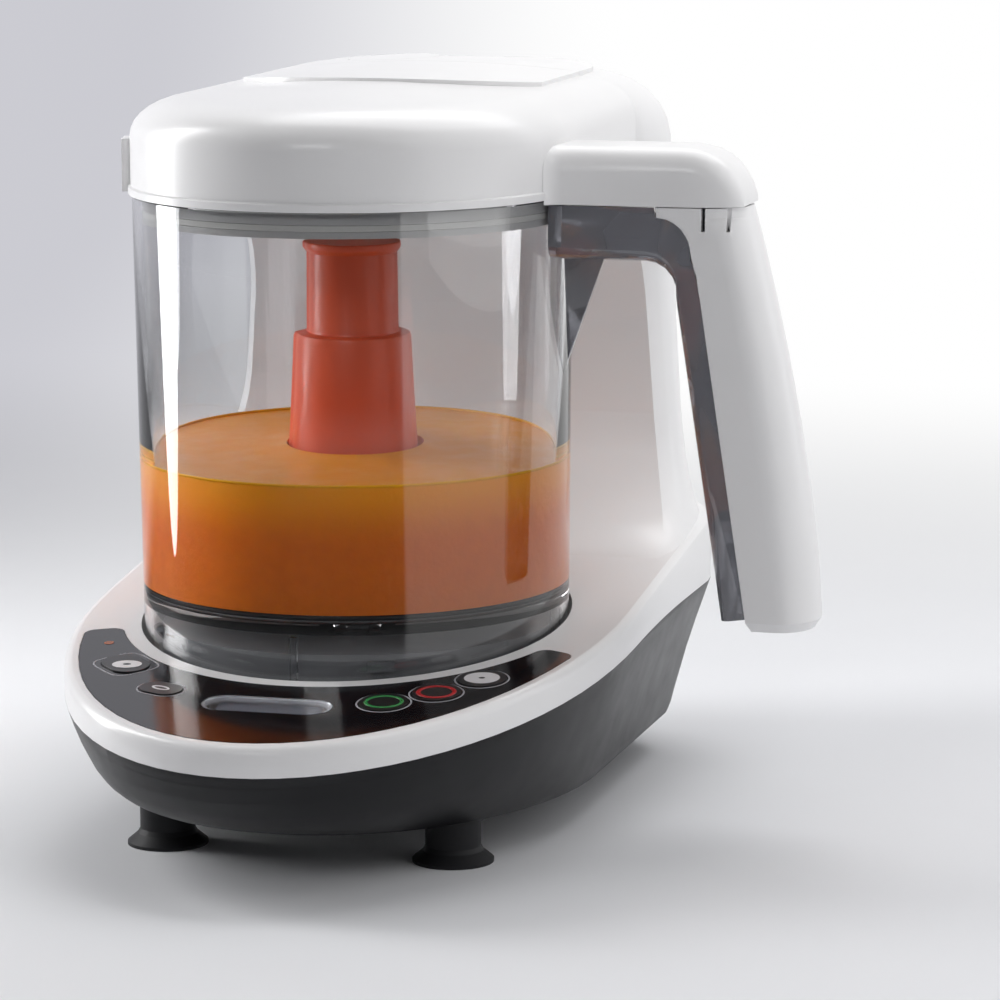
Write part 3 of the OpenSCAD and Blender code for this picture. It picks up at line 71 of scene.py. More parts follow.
# %% Node helpers
def new_material(name):
    mat = bpy.data.materials.new(name)
    mat.use_nodes = True
    tree = mat.node_tree
    tree.nodes.clear()
    out = tree.nodes.new("ShaderNodeOutputMaterial")
    shader = tree.nodes.new("ShaderNodeBsdfPrincipled")
    tree.links.new(shader.outputs["BSDF"], out.inputs["Surface"])
    return mat, tree, shader


def node(tree, kind, **settings):
    made = tree.nodes.new(kind)
    for key, value in settings.items():
        setattr(made, key, value)
    return made


def link(tree, source, target):
    tree.links.new(source, target)


print("node helpers:", [f.__name__ for f in (new_material, node, link)])

# %% [markdown]
# New meshes are put together as a bmesh, which is easy to add points and faces to. This helper turns a
# finished one into the mesh of an object, with its faces shaded smooth where that is asked for.

# %% Mesh helper
def mesh_of(bm, name, smooth=False):
    mesh = bpy.data.meshes.new(name)
    bm.to_mesh(mesh)
    bm.free()
    if smooth:
        for face in mesh.polygons:
            face.use_smooth = True
    return mesh


print("a bmesh is finished by", mesh_of.__name__)

# %% [markdown]
# The studio is a sweep: a floor that bends up into a wall, so there is no horizon line behind the
# machine. A plane with a bevelled fold would do too. One profile of points, repeated at five widths,
# is as quick, and it keeps the radius of the bend a plain number.

# %% Studio sweep
floor_front, bend_start, bend_r, wall_top = -4.0, 1.6, 0.9, 4.5


def sweep_mesh():
    bm = bmesh.new()
    profile = [(floor_front, 0.0), (bend_start, 0.0)]
    for angle in range(9, 91, 9):
        t = math.radians(angle)
        profile.append((bend_start + bend_r * math.sin(t), bend_r - bend_r * math.cos(t)))
    profile.append((bend_start + bend_r, wall_top))
    rows = [[bm.verts.new((x, y, z)) for x in (-5, -1, 0, 1, 5)] for y, z in profile]
    for a, b in zip(rows, rows[1:]):
        for i in range(4):
            bm.faces.new((a[i], a[i + 1], b[i + 1], b[i]))
    return mesh_of(bm, "studio_sweep", smooth=True)


sweep = bpy.data.objects.new("studio_sweep", sweep_mesh())
bpy.context.scene.collection.objects.link(sweep)
print("studio sweep:", len(sweep.data.vertices), "points")

# %% [markdown]
# Colours that change with place need more helpers: a range that eases from 0 to 1 between two numbers,
# and a mix whose ends are fixed colours or the outputs of other nodes. A third one multiplies as many
# values as it is given.

# %% Ranges, mixes and products
def eased(tree, value, low, high):
    made = node(tree, "ShaderNodeMapRange", interpolation_type="SMOOTHSTEP")
    made.inputs["From Min"].default_value, made.inputs["From Max"].default_value = low, high
    link(tree, value, made.inputs["Value"])
    return made.outputs["Result"]


def mix_colour(tree, factor, first, second):
    made = node(tree, "ShaderNodeMix", data_type="RGBA")
    link(tree, factor, made.inputs["Factor"])
    for name, colour in (("A", first), ("B", second)):
        if isinstance(colour, tuple):
            made.inputs[name].default_value = (*colour, 1)
        else:
            link(tree, colour, made.inputs[name])
    return made.outputs["Result"]


def product(tree, *values):
    result = values[0]
    for value in values[1:]:
        made = node(tree, "ShaderNodeMath", operation="MULTIPLY")
        link(tree, result, made.inputs[0])
        link(tree, value, made.inputs[1])
        result = made.outputs[0]
    return result


print("range helpers:", [f.__name__ for f in (eased, mix_colour, product)])

# %% [markdown]
# The sweep is matt paper. Real paper is never quite even, so a wide noise moves its grey by a few
# hundredths. It has hardly any gloss, or the lamps would show on the floor as bright patches.

# %% Studio paper
sweep_mat, tree, shader = new_material("studio_paper")
where = node(tree, "ShaderNodeTexCoord")
split = node(tree, "ShaderNodeSeparateXYZ")
link(tree, where.outputs["Object"], split.inputs[0])
fibre = node(tree, "ShaderNodeTexNoise")
fibre.inputs["Scale"].default_value = 9
link(tree, where.outputs["Object"], fibre.inputs["Vector"])
paper = mix_colour(tree, fibre.outputs["Fac"], (0.77, 0.775, 0.80), (0.805, 0.81, 0.83))
link(tree, paper, shader.inputs["Base Color"])
shader.inputs["Roughness"].default_value = 0.8
shader.inputs["Specular IOR Level"].default_value = 0.1
sweep.data.materials.append(sweep_mat)
print("paper nodes:", len(tree.nodes))

# %% [markdown]
# Behind the machine the sweep runs from lilac grey on the left to white on the right. A lamp gives no
# such even change, so the far part glows by itself. Only rays that look at it see the glow. To the
# light that bounces about it stays paper, so it doesn't spill on the machine.

# %% Glow of the far wall
view_slant = 0.2655             # how far the view moves to the left for each metre it goes back
glow_left, glow_right = -0.28, 0.12
glow_start, glow_full = 0.2, 1.0
glow = node(tree, "ShaderNodeEmission")
across = node(tree, "ShaderNodeMath", operation="MULTIPLY_ADD")
across.inputs[1].default_value = view_slant
link(tree, split.outputs["Y"], across.inputs[0])
link(tree, split.outputs["X"], across.inputs[2])
from_left = eased(tree, across.outputs[0], glow_left, glow_right)
wall_tint = mix_colour(tree, from_left, (0.60, 0.60, 0.645), (1, 1, 1))
link(tree, wall_tint, glow.inputs["Color"])
rays = node(tree, "ShaderNodeLightPath")
seen = node(tree, "ShaderNodeMath", operation="MAXIMUM")
link(tree, rays.outputs["Is Camera Ray"], seen.inputs[0])
link(tree, rays.outputs["Is Glossy Ray"], seen.inputs[1])
seen_too = node(tree, "ShaderNodeMath", operation="MAXIMUM")
link(tree, seen.outputs[0], seen_too.inputs[0])
link(tree, rays.outputs["Is Transmission Ray"], seen_too.inputs[1])
far = product(tree, seen_too.outputs[0], eased(tree, split.outputs["Y"], glow_start, glow_full))
blend = node(tree, "ShaderNodeMixShader")
link(tree, far, blend.inputs["Fac"])
link(tree, shader.outputs["BSDF"], blend.inputs[1])
link(tree, glow.outputs["Emission"], blend.inputs[2])
print("glow starts", glow_start, "m behind the bowl")

# %% [markdown]
# Gloss shows what stands round the machine more than the lamps that light it. To glossy rays alone the
# table far from the machine glows white on the right and is nearly black on the left: a painted
# reflection that gives the upright sides their pale and dark bands. Close to the machine they still
# see the paper.

# %% Painted reflections of the surroundings
table_near, table_far = 0.33, 0.42
table_end, table_whole = 0.35, 0.2
to_pale_side, side_blur = (0.749, 0.663, 0), 0.012
beside = node(tree, "ShaderNodeVectorMath", operation="DOT_PRODUCT")
beside.inputs[1].default_value = to_pale_side
link(tree, where.outputs["Object"], beside.inputs[0])
away = node(tree, "ShaderNodeVectorMath", operation="LENGTH")
link(tree, where.outputs["Object"], away.inputs[0])
# painted reflection: for glossy rays only, the far table glows white on the right and near black on the
# left
painted_reflection = node(tree, "ShaderNodeEmission")
right_side = eased(tree, beside.outputs["Value"], -side_blur, side_blur)
link(tree, mix_colour(tree, right_side, (0.02, 0.02, 0.022), (1, 1, 1)), painted_reflection.inputs["Color"])
in_gloss = product(tree, rays.outputs["Is Glossy Ray"],
                   eased(tree, away.outputs["Value"], table_near, table_far),
                   eased(tree, split.outputs["Y"], table_end, table_whole))
gloss = node(tree, "ShaderNodeMixShader")
link(tree, in_gloss, gloss.inputs["Fac"])
link(tree, blend.outputs["Shader"], gloss.inputs[1])
link(tree, painted_reflection.outputs["Emission"], gloss.inputs[2])
link(tree, gloss.outputs["Shader"], tree.nodes["Material Output"].inputs["Surface"])
print("studio paper is done with", len(tree.nodes), "nodes")

# %% [markdown]
# Clear plastic shows its surroundings more than itself. So the lamps are few and large: a wide soft
# box on the right, a narrow strip on the left, and an overhead one that lights the lid. A small one
# high above the camera fills the front. The rest of the room stays dim, which leaves a dark band down
# the middle of the bowl between two pale ones.

# %% Lamps
def soft_box(name, place, aim, size, watts, oval=False):
    data = bpy.data.lights.new(name, "AREA")
    data.shape, data.energy = "ELLIPSE" if oval else "RECTANGLE", watts
    data.size, data.size_y = size
    lamp = bpy.data.objects.new(name, data)
    bpy.context.scene.collection.objects.link(lamp)
    lamp.location = place
    lamp.rotation_euler = (Vector(aim) - Vector(place)).to_track_quat("-Z", "Y").to_euler()
    return lamp


soft_box("right_panel", (0.62, 0.03, 0.47), (0, 0.03, 0.2), (1.15, 0.9), 3.3)
soft_box("left_strip", (-0.50, 0.0, 0.37), (0, 0, 0.37), (0.2, 0.74), 3.2, oval=True)
soft_box("top_box", (0.1, 0.35, 0.95), (0.02, 0.05, 0.1), (0.9, 0.7), 5.7)
soft_box("front_fill", (-0.1, -1.5, 0.9), (0, 0, 0.1), (0.5, 0.3), 2.8)

# %% [markdown]
# A little light comes from all sides, as it does in a room with pale walls. The Standard view keeps
# the white housing white, where the default one would grey it.

# %% Air and view
world = bpy.data.worlds.new("studio_air")
world.use_nodes = True
air = world.node_tree.nodes["Background"]
air.inputs["Color"].default_value, air.inputs["Strength"].default_value = (0.9, 0.9, 0.93, 1), 0.14
bpy.context.scene.world = world
bpy.context.scene.view_settings.view_transform = "Standard"
print("view:", bpy.context.scene.view_settings.view_transform)

# %% [markdown]
# No finish is one flat colour, so each is driven by noise. A noise can be stretched for brushed metal,
# and its values mix two tones or are spread over a range of sheen. It reads Object coordinates, which
# are metres here, so a scale of 2000 gives a grain of about half a millimetre.

# %% Noise and spread
def noise(tree, coordinates, scale, detail=2.0, stretch=None):
    made = node(tree, "ShaderNodeTexNoise")
    made.inputs["Scale"].default_value = scale
    made.inputs["Detail"].default_value = detail
    if stretch:
        mapping = node(tree, "ShaderNodeMapping")
        mapping.inputs["Scale"].default_value = stretch
        link(tree, coordinates, mapping.inputs["Vector"])
        coordinates = mapping.outputs["Vector"]
    link(tree, coordinates, made.inputs["Vector"])
    return made.outputs["Fac"]


def spread(tree, value, low, high):
    made = node(tree, "ShaderNodeMapRange")
    made.inputs["From Min"].default_value, made.inputs["From Max"].default_value = 0.3, 0.7
    made.inputs["To Min"].default_value, made.inputs["To Max"].default_value = low, high
    link(tree, value, made.inputs["Value"])
    return made.outputs["Result"]


print("noise helpers:", [f.__name__ for f in (noise, spread)])

# %% [markdown]
# On moulded plastic the mould leaves a fine grain, and the sheen and the tint drift a little over a
# wide panel. Three noises make that: a coarse one for the tint, a medium one for the sheen and a fine
# one for the grain. A polished white shell has no grain. The sheen of one finish stays on one side of
# 0.27: the denoiser takes anything smoother for a mirror, and a drift across it leaves flecks.

# %% A solid finish
tint_scale, sheen_scale = 26, 90
grain_depth = 0.0002


def surface(name, colour, rough, drift=0.03, grain=2200, relief=0.03, metal=0.0, coat=0.0, stretch=None):
    mat, tree, shader = new_material(name)
    place = node(tree, "ShaderNodeTexCoord").outputs["Object"]
    darker = tuple(c * (1 - drift) for c in colour)
    lighter = tuple(min(1, c * (1 + drift)) for c in colour)
    tint = mix_colour(tree, noise(tree, place, tint_scale, 3), darker, lighter)
    link(tree, tint, shader.inputs["Base Color"])
    sheen = noise(tree, place, sheen_scale, 3, stretch)
    link(tree, spread(tree, sheen, rough * 0.95, rough * 1.12), shader.inputs["Roughness"])
    if relief:
        bump = node(tree, "ShaderNodeBump")
        bump.inputs["Strength"].default_value = relief
        bump.inputs["Distance"].default_value = grain_depth
        link(tree, noise(tree, place, grain, 2, stretch), bump.inputs["Height"])
        link(tree, bump.outputs["Normal"], shader.inputs["Normal"])
    shader.inputs["Metallic"].default_value = metal
    if coat:
        shader.inputs["Coat Weight"].default_value = coat
        shader.inputs["Coat Roughness"].default_value = 0.08
    return mat


print("a solid finish is made by", surface.__name__)

# %% [markdown]
# The machine has few finishes: polished white for the housing, lid and grip, soft charcoal for the
# tub, a glossy black film on the panel, and terracotta for the hub. Inside are rubber, silicone and
# the green board. Each is one line here, so the set is easy to compare. Charcoal and rubber reflect
# less than the shader's default, or they would look dusty.

# %% Plastics and rubbers
finishes = {
    "white_plastic": surface("white_plastic", (0.83, 0.825, 0.83), 0.3, 0.008, relief=0, coat=0.15),
    "charcoal_plastic": surface("charcoal_plastic", (0.0075, 0.0075, 0.009), 0.34, 0.08, 3200, 0.12),
    "grey_plastic": surface("grey_plastic", (0.16, 0.165, 0.175), 0.42, 0.05, 2600, 0.08),
    "pale_grey_plastic": surface("pale_grey_plastic", (0.5, 0.5, 0.5), 0.45, 0.03, 2600, 0.06),
    "panel_film": surface("panel_film", (0.0035, 0.003, 0.0045), 0.12, 0.1, 1500, 0.02, coat=0.15),
    "display_glass": surface("display_glass", (0.2, 0.21, 0.25), 0.3, 0.1, 3000, 0.05),
    "amber_lens": surface("amber_lens", (0.35, 0.09, 0.02), 0.235, 0.1, 2600, 0.02),
    "board": surface("board", (0.01, 0.09, 0.03), 0.35, 0.2, 1800, 0.1),
    "switch_black": surface("switch_black", (0.015, 0.015, 0.016), 0.5, 0.1, 3000, 0.15),
    "black_rubber": surface("black_rubber", (0.011, 0.011, 0.013), 0.55, 0.15, 2400, 0.2),
    "belt_rubber": surface("belt_rubber", (0.014, 0.014, 0.015), 0.65, 0.2, 1800, 0.35),
    "silicone": surface("silicone", (0.62, 0.62, 0.6), 0.45, 0.03, 2000, 0.06),
    "key_black": surface("key_black", (0.012, 0.012, 0.014), 0.32, 0.1, 3000, 0.05),
    "key_green": surface("key_green", (0.012, 0.014, 0.014), 0.3, 0.1, 3000, 0.05),
    "key_red": surface("key_red", (0.014, 0.011, 0.012), 0.3, 0.1, 3000, 0.05),
    "key_grey": surface("key_grey", (0.02, 0.02, 0.022), 0.3, 0.1, 3000, 0.05),
    "terracotta": surface("terracotta", (0.76, 0.11, 0.04), 0.34, 0.06, 1200, 0.02),
}
for name in ("charcoal_plastic", "black_rubber"):
    dark_shader = finishes[name].node_tree.nodes["Principled BSDF"]
    dark_shader.inputs["Specular IOR Level"].default_value = 0.3
print("plastics and rubbers:", len(finishes))

# %% [markdown]
# Metals keep their colour in the reflection. Ground and turned steel has fine scratches that run one
# way, so the noise is stretched: a small scale along the scratch and a large one across it.

# %% Metals
finishes.update({
    "zinc_steel": surface("zinc_steel", (0.56, 0.57, 0.58), 0.32, 0.08, 1800, 0.1, metal=1.0),
    "motor_steel": surface("motor_steel", (0.42, 0.43, 0.45), 0.38, 0.06, 1500, 0.1, metal=1.0),
    "bearing_steel": surface("bearing_steel", (0.66, 0.66, 0.67), 0.18, 0.04, 1200, 0.05, metal=1.0,
                             stretch=(1, 1, 12)),
    "boiler_alloy": surface("boiler_alloy", (0.62, 0.63, 0.65), 0.45, 0.06, 700, 0.3, metal=1.0),
    "copper": surface("copper", (0.72, 0.38, 0.24), 0.3, 0.08, 900, 0.08, metal=1.0),
    "blade_steel": surface("blade_steel", (0.68, 0.68, 0.69), 0.22, 0.04, 1600, 0.12, metal=1.0,
                           stretch=(14, 1, 1)),
})
print("finishes so far:", len(finishes))

# %% [markdown]
# Clear plastic lets light through and bends it. Transmission does that on the solid wall of the bowl,
# so its rim and its corners go dark as they do in a real one. A light smoky tint is enough, because
# each ray crosses four skins. Faint noise in the sheen stands for wiping marks. A bent ray rarely
# finds a lamp, so the inside would stay black: shadow rays pass most of the way straight through.

# %% Clear plastics
clear_ior = 1.56
cloud_scale, wiping_scale = 18, 60


def clear(name, tint, rough, passing=0.85):
    mat, tree, shader = new_material(name)
    place = node(tree, "ShaderNodeTexCoord").outputs["Object"]
    darker = tuple(c * 0.985 for c in tint)
    cloud = mix_colour(tree, noise(tree, place, cloud_scale, 3), darker, tint)
    link(tree, cloud, shader.inputs["Base Color"])
    wiping = noise(tree, place, wiping_scale, 4)
    link(tree, spread(tree, wiping, rough * 0.6, rough * 1.6), shader.inputs["Roughness"])
    shader.inputs["Transmission Weight"].default_value = 1.0
    shader.inputs["IOR"].default_value = clear_ior
    shade = node(tree, "ShaderNodeMath", operation="MULTIPLY_ADD")
    shade.inputs[1].default_value, shade.inputs[2].default_value = -passing, 1
    link(tree, node(tree, "ShaderNodeLightPath").outputs["Is Shadow Ray"], shade.inputs[0])
    link(tree, shade.outputs[0], shader.inputs["Alpha"])
    return mat


finishes["smoky_clear"] = clear("smoky_clear", (0.86, 0.865, 0.875), 0.006)
finishes["window_lens"] = clear("window_lens", (0.8, 0.82, 0.86), 0.12)
finishes["tank_plastic"] = clear("tank_plastic", (0.8, 0.86, 0.92), 0.25)
print("all finishes:", len(finishes))

# %% [markdown]
# The bar that carries the grip is moulded with the jug, but it is thick, so the smoky tint adds up to
# a dark grey. Some of its light is scattered and the rest goes through, under a thin clear coat.

# %% Smoky bar
smoky_bar = clear("smoky_bar", (0.38, 0.385, 0.425), 0.05, passing=0.4)
bar_shader = smoky_bar.node_tree.nodes["Principled BSDF"]
bar_shader.inputs["Transmission Weight"].default_value = 0.62
bar_shader.inputs["Coat Weight"].default_value = 0.5
bar_shader.inputs["Coat Roughness"].default_value = 0.04
print("smoky bar:", len(smoky_bar.node_tree.nodes), "nodes")

# %% [markdown]
# Each solid takes the finish of its slot in the record. Small parts with true curves keep their own
# mesh, so a screw or a pulley needs nothing more than this.

# %% Finishes on the solids
slots = {s["node"]: s["material_slot"] for s in frame["record"]["subparts"]}
for name, solid in nodes.items():
    solid.data.materials.clear()
    solid.data.materials.append(finishes[slots[name]])
print("solids with a finish:", len(slots))


# %% [markdown]
# Whatever is built here needs the same few steps: an object for its mesh, a finish and a body to ride
# on. A piece that modifiers shape is turned into plain mesh first, because the hand-over reads meshes.

# %% New pieces
def new_piece(name, mesh, body, finish):
    piece = bpy.data.objects.new(name, mesh)
    bpy.context.scene.collection.objects.link(piece)
    mesh.materials.append(finish)
    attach(piece, body)
    return piece


def baked(piece):
    """The piece with its modifiers turned into plain mesh."""
    shaped = bpy.data.meshes.new_from_object(piece.evaluated_get(bpy.context.evaluated_depsgraph_get()))
    piece.modifiers.clear()
    piece.data = shaped
    return piece


print("piece helpers:", [f.__name__ for f in (new_piece, baked)])

# %% [markdown]
# The big shells are faceted lofts, so each gets a skin: a copy that is shaded smooth except across real
# edges. Smooth shading leans on the neighbours of a face, and a wide flat with a rounded rim would
# shade in long streaks. So the rim of each wide flat is marked sharp too.

# %% Edges of a skin
real_edge = math.radians(30)
same_plane = 0.999975           # cosine between faces of one flat
wide_flat = 1.5e-3              # square metres


def mark_edges(bm):
    """Real edges are sharp, and so is the rim of each wide flat, which would otherwise shade in streaks."""
    bm.faces.ensure_lookup_table()
    flat = [-1] * len(bm.faces)
    area = []
    for first in bm.faces:
        if flat[first.index] >= 0:
            continue
        group, total, queue = len(area), 0.0, [first]
        flat[first.index] = group
        while queue:
            face = queue.pop()
            total += face.calc_area()
            for other in (other for edge in face.edges for other in edge.link_faces):
                if flat[other.index] < 0 and other.normal.dot(first.normal) > same_plane:
                    flat[other.index] = group
                    queue.append(other)
        area.append(total)
    for face in bm.faces:
        face.smooth = True
    for edge in bm.edges:
        if len(edge.link_faces) == 2:
            a, b = edge.link_faces
            one, other = flat[a.index], flat[b.index]
            rim = one != other and max(area[one], area[other]) > wide_flat
            edge.smooth = not (rim or edge.calc_face_angle(0) > real_edge)


print("edges are marked by", mark_edges.__name__)

# %% [markdown]
# The tub's sides are drawn in by a loft with many slim facets, whose normals ripple a little. Sharing
# each normal with its neighbours a few times takes the ripple out, and the shape isn't touched. A
# subdivision would round the seam as well.

# %% Even normals
def even_normals(mesh, rounds):
    """Shares each normal with its neighbours, which takes the ripple out of a lofted side."""
    if not rounds:
        return
    corners = [c.vector.copy() for c in mesh.corner_normals]
    edged = {v for e in mesh.edges if e.use_edge_sharp for v in e.vertices}
    soft = {}
    for loop in mesh.loops:
        if loop.vertex_index not in edged:
            soft[loop.vertex_index] = corners[loop.index]
    near = {v: [] for v in soft}
    for e in mesh.edges:
        a, b = e.vertices
        if a in near and b in near:
            near[a].append(b)
            near[b].append(a)
    for _ in range(rounds):
        soft = {v: (soft[v] * 2 + sum((soft[u] for u in near[v]), Vector())).normalized()
                for v in soft}
    mesh.normals_split_custom_set(
        [soft.get(loop.vertex_index, corners[loop.index]) for loop in mesh.loops])


print("normals are evened by", even_normals.__name__)

# %% [markdown]
# Inside the tower a shelf carries the water tank. It is as wide as the tower, whose corners are round,
# so the shelf's own corners come a millimetre or two through the wall. They are welded onto it.

# %% Shelf corners
def tuck_shelf(bm):
    """Welds the corners of the tower's inner shelf, which come through its wall, onto that wall."""
    side, low, high, front, rear = 0.075363, 0.109, 0.1114, 0.1032, 0.1279
    wall_from, near = 0.0725, 1e-5
    ring = [v for v in bm.verts if low - near < v.co.z < high + near and abs(v.co.x) > wall_from]
    corners = [v for v in ring if abs(abs(v.co.x) - side) < near
               and min(abs(v.co.y - front), abs(v.co.y - rear)) < near]
    targets = {}
    for v in corners:
        level = [u for u in ring if abs(u.co.z - v.co.z) < near
                 and u.co.x * v.co.x > 0 and abs(u.co.x) < side - 1e-4]
        targets[v] = min(level, key=lambda u: (u.co - v.co).length)
    bmesh.ops.weld_verts(bm, targetmap=targets)
    print("shelf corners tucked in:", len(targets))


print("shelf corners are tucked in by", tuck_shelf.__name__)

# %% [markdown]
# Now the skins themselves. Doubles are merged first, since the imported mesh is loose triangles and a
# normal can only be shared by faces that share a point. The skin replaces its solid and keeps its slot.

# %% Skins of the shells
def skin(name, body="base", even=0, mend=None):
    bm = bmesh.new()
    bm.from_mesh(nodes[name].data)
    bmesh.ops.remove_doubles(bm, verts=bm.verts, dist=2e-6)
    if mend:
        mend(bm)
    mark_edges(bm)
    mesh = mesh_of(bm, name + "_skin")
    even_normals(mesh, even)
    piece = new_piece(name + "_skin", mesh, body, finishes[slots[name]])
    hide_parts(name)
    return piece


skins = [skin("base_tub", even=10), skin("top_shell", mend=tuck_shelf), skin("tower_back"),
         skin("lid_shell", "lid"), skin("handle_grip", "bowl")]
print("skins:", [(s.name, len(s.data.polygons)) for s in skins])

# %% [markdown]
# Many pieces here are turned: a closed profile of radius and height is swept round the axis. The
# Screw modifier does that too. A short loop of points does it without a modifier, and it can let the
# radius vary with the angle, which the hub needs later.

# %% Turned pieces
def turned(name, profile, steps=192, shape=None):
    bm = bmesh.new()
    rings = []
    for r, z in profile:
        ring = []
        for i in range(steps):
            t = 2 * math.pi * i / steps
            k = r * (shape(t, z) if shape else 1)
            ring.append(bm.verts.new((k * math.cos(t), k * math.sin(t), z)))
        rings.append(ring)
    for a, b in zip(rings, rings[1:] + rings[:1]):
        for i in range(steps):
            j = (i + 1) % steps
            bm.faces.new((a[i], a[j], b[j], b[i]))
    bmesh.ops.remove_doubles(bm, verts=bm.verts, dist=1e-7)
    bmesh.ops.recalc_face_normals(bm, faces=bm.faces)
    mesh = mesh_of(bm, name, smooth=True)
    mesh.set_sharp_from_angle(angle=math.radians(32))
    return mesh


print("turned pieces are made by", turned.__name__)

# %% [markdown]
# The jug is one clear moulding, and a clear wall shows each facet twice: once in front and once
# behind. So its wall, floor, centre post and skirt are one turned piece with 192 steps, where the
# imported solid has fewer. Small steps in the profile round its rims.

# %% Jug wall
jug_profile = [(0.0076, 0.0701), (0.0637, 0.0701), (0.0637, 0.0505), (0.0640, 0.0503), (0.0660, 0.0503),
               (0.0663, 0.0506), (0.0680, 0.1968), (0.0677, 0.1971), (0.0657, 0.1971), (0.0654, 0.1968),
               (0.0640, 0.0761), (0.0636, 0.0748), (0.0629, 0.0740), (0.0610, 0.0731), (0.0100, 0.0731),
               (0.0100, 0.1550), (0.0097, 0.1553), (0.0079, 0.1553), (0.0076, 0.1550)]
jug = new_piece("jug_wall", turned("jug_wall", jug_profile), "bowl", finishes["smoky_clear"])
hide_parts("bowl")
print("jug wall:", len(jug.data.polygons), "faces")

# %% [markdown]
# The bar for the grip starts at the rim, reaches out and bends down inside the grip. Its shape is
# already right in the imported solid, so it is cut out of that: every face outside the wall is kept, and
# the open edge where it met the wall is filled.

# %% Bar of the jug
wall_r, bar_start_x = 0.06806, 0.05
bm = bmesh.new()
bm.from_mesh(nodes["bowl"].data)
bmesh.ops.remove_doubles(bm, verts=bm.verts, dist=2e-6)
middles = [(f, f.calc_center_median()) for f in bm.faces]
inner = [f for f, middle in middles if math.hypot(*middle.xy) < wall_r or middle.x < bar_start_x]
bmesh.ops.delete(bm, geom=inner, context="FACES")
bmesh.ops.holes_fill(bm, edges=[e for e in bm.edges if e.is_boundary], sides=0)
bmesh.ops.triangulate(bm, faces=[f for f in bm.faces if len(f.verts) > 4])
bmesh.ops.recalc_face_normals(bm, faces=bm.faces)
open_edges = sum(e.is_boundary for e in bm.edges)
bar_mesh = mesh_of(bm, "jug_bar", smooth=True)
bar_mesh.set_sharp_from_angle(angle=math.radians(30))
bar = new_piece("jug_bar", bar_mesh, "bowl", smoky_bar)
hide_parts("bowl")
print("jug bar:", len(bar_mesh.polygons), "faces,", open_edges, "open edges")

# %% [markdown]
# What repeats or follows a path is made by Geometry Nodes. Every tree needs the same frame: named
# inputs for its sizes, and an end that makes the copies real and paints them, since the hand-over
# keeps no instances. An input is set on the modifier by its socket's identifier, not by its name.

# %% Frame of a tree
def new_tree(name, inputs):
    tree = bpy.data.node_groups.new(name, "GeometryNodeTree")
    tree.interface.new_socket("Geometry", in_out="INPUT", socket_type="NodeSocketGeometry")
    for label, kind in inputs:
        tree.interface.new_socket(label, in_out="INPUT", socket_type=kind)
    tree.interface.new_socket("Geometry", in_out="OUTPUT", socket_type="NodeSocketGeometry")
    return tree, tree.nodes.new("NodeGroupInput"), tree.nodes.new("NodeGroupOutput")


def finish_tree(tree, shape, source, out):
    real = node(tree, "GeometryNodeRealizeInstances")
    paint = node(tree, "GeometryNodeSetMaterial")
    link(tree, shape, real.inputs["Geometry"])
    link(tree, real.outputs["Geometry"], paint.inputs["Geometry"])
    link(tree, source.outputs["Material"], paint.inputs["Material"])
    link(tree, paint.outputs["Geometry"], out.inputs["Geometry"])


def grown(name, tree, values, mesh=None):
    piece = bpy.data.objects.new(name, mesh or bpy.data.meshes.new(name))
    bpy.context.scene.collection.objects.link(piece)
    maker = piece.modifiers.new(tree.name, "NODES")
    maker.node_group = tree
    for item in tree.interface.items_tree:
        if item.in_out == "INPUT" and item.name in values:
            maker[item.identifier] = values[item.name]
    return baked(piece)


print("tree helpers:", [f.__name__ for f in (new_tree, finish_tree, grown)])

# %% [markdown]
# Under its floor the jug has four ribs with short ramps, which lock it on the drive platform when it
# is turned. They could be four copies by hand. The tree sets one rib on each point of a circle and
# turns it to face outwards, so the count and the radius stay numbers that can be changed.

# %% Tree of the bayonet ribs
rib_size, ramp_size = (0.0026, 0.002, 0.0178), (0.0024, 0.009, 0.002)
ramp_place = (0, -ramp_size[1] / 2, (ramp_size[2] - rib_size[2]) / 2)
ribs, given, out = new_tree("bayonet_ribs", [
    ("Count", "NodeSocketInt"), ("Radius", "NodeSocketFloat"), ("Height", "NodeSocketFloat"),
    ("Material", "NodeSocketMaterial")])
circle = node(ribs, "GeometryNodeMeshCircle")
link(ribs, given.outputs["Count"], circle.inputs["Vertices"])
link(ribs, given.outputs["Radius"], circle.inputs["Radius"])
upright = node(ribs, "GeometryNodeMeshCube")
upright.inputs["Size"].default_value = rib_size
ramp_block = node(ribs, "GeometryNodeMeshCube")
ramp_block.inputs["Size"].default_value = ramp_size
lower = node(ribs, "GeometryNodeTransform")
lower.inputs["Translation"].default_value = ramp_place
link(ribs, ramp_block.outputs["Mesh"], lower.inputs["Geometry"])
both = node(ribs, "GeometryNodeJoinGeometry")
link(ribs, upright.outputs["Mesh"], both.inputs["Geometry"])
link(ribs, lower.outputs["Geometry"], both.inputs["Geometry"])
facing = node(ribs, "FunctionNodeAlignRotationToVector", axis="X")
link(ribs, node(ribs, "GeometryNodeInputPosition").outputs["Position"], facing.inputs["Vector"])
set_out = node(ribs, "GeometryNodeInstanceOnPoints")
link(ribs, circle.outputs["Mesh"], set_out.inputs["Points"])
link(ribs, both.outputs["Geometry"], set_out.inputs["Instance"])
link(ribs, facing.outputs["Rotation"], set_out.inputs["Rotation"])
raised = node(ribs, "GeometryNodeTransform")
lift = node(ribs, "ShaderNodeCombineXYZ")
link(ribs, given.outputs["Height"], lift.inputs["Z"])
link(ribs, set_out.outputs["Instances"], raised.inputs["Geometry"])
link(ribs, lift.outputs["Vector"], raised.inputs["Translation"])
finish_tree(ribs, raised.outputs["Geometry"], given, out)
print("rib tree:", len(ribs.nodes), "nodes")

# %% [markdown]
# Four ribs of the jug's own plastic stand against the inside of its skirt. They ride on the bowl, so
# they come off the base with it.

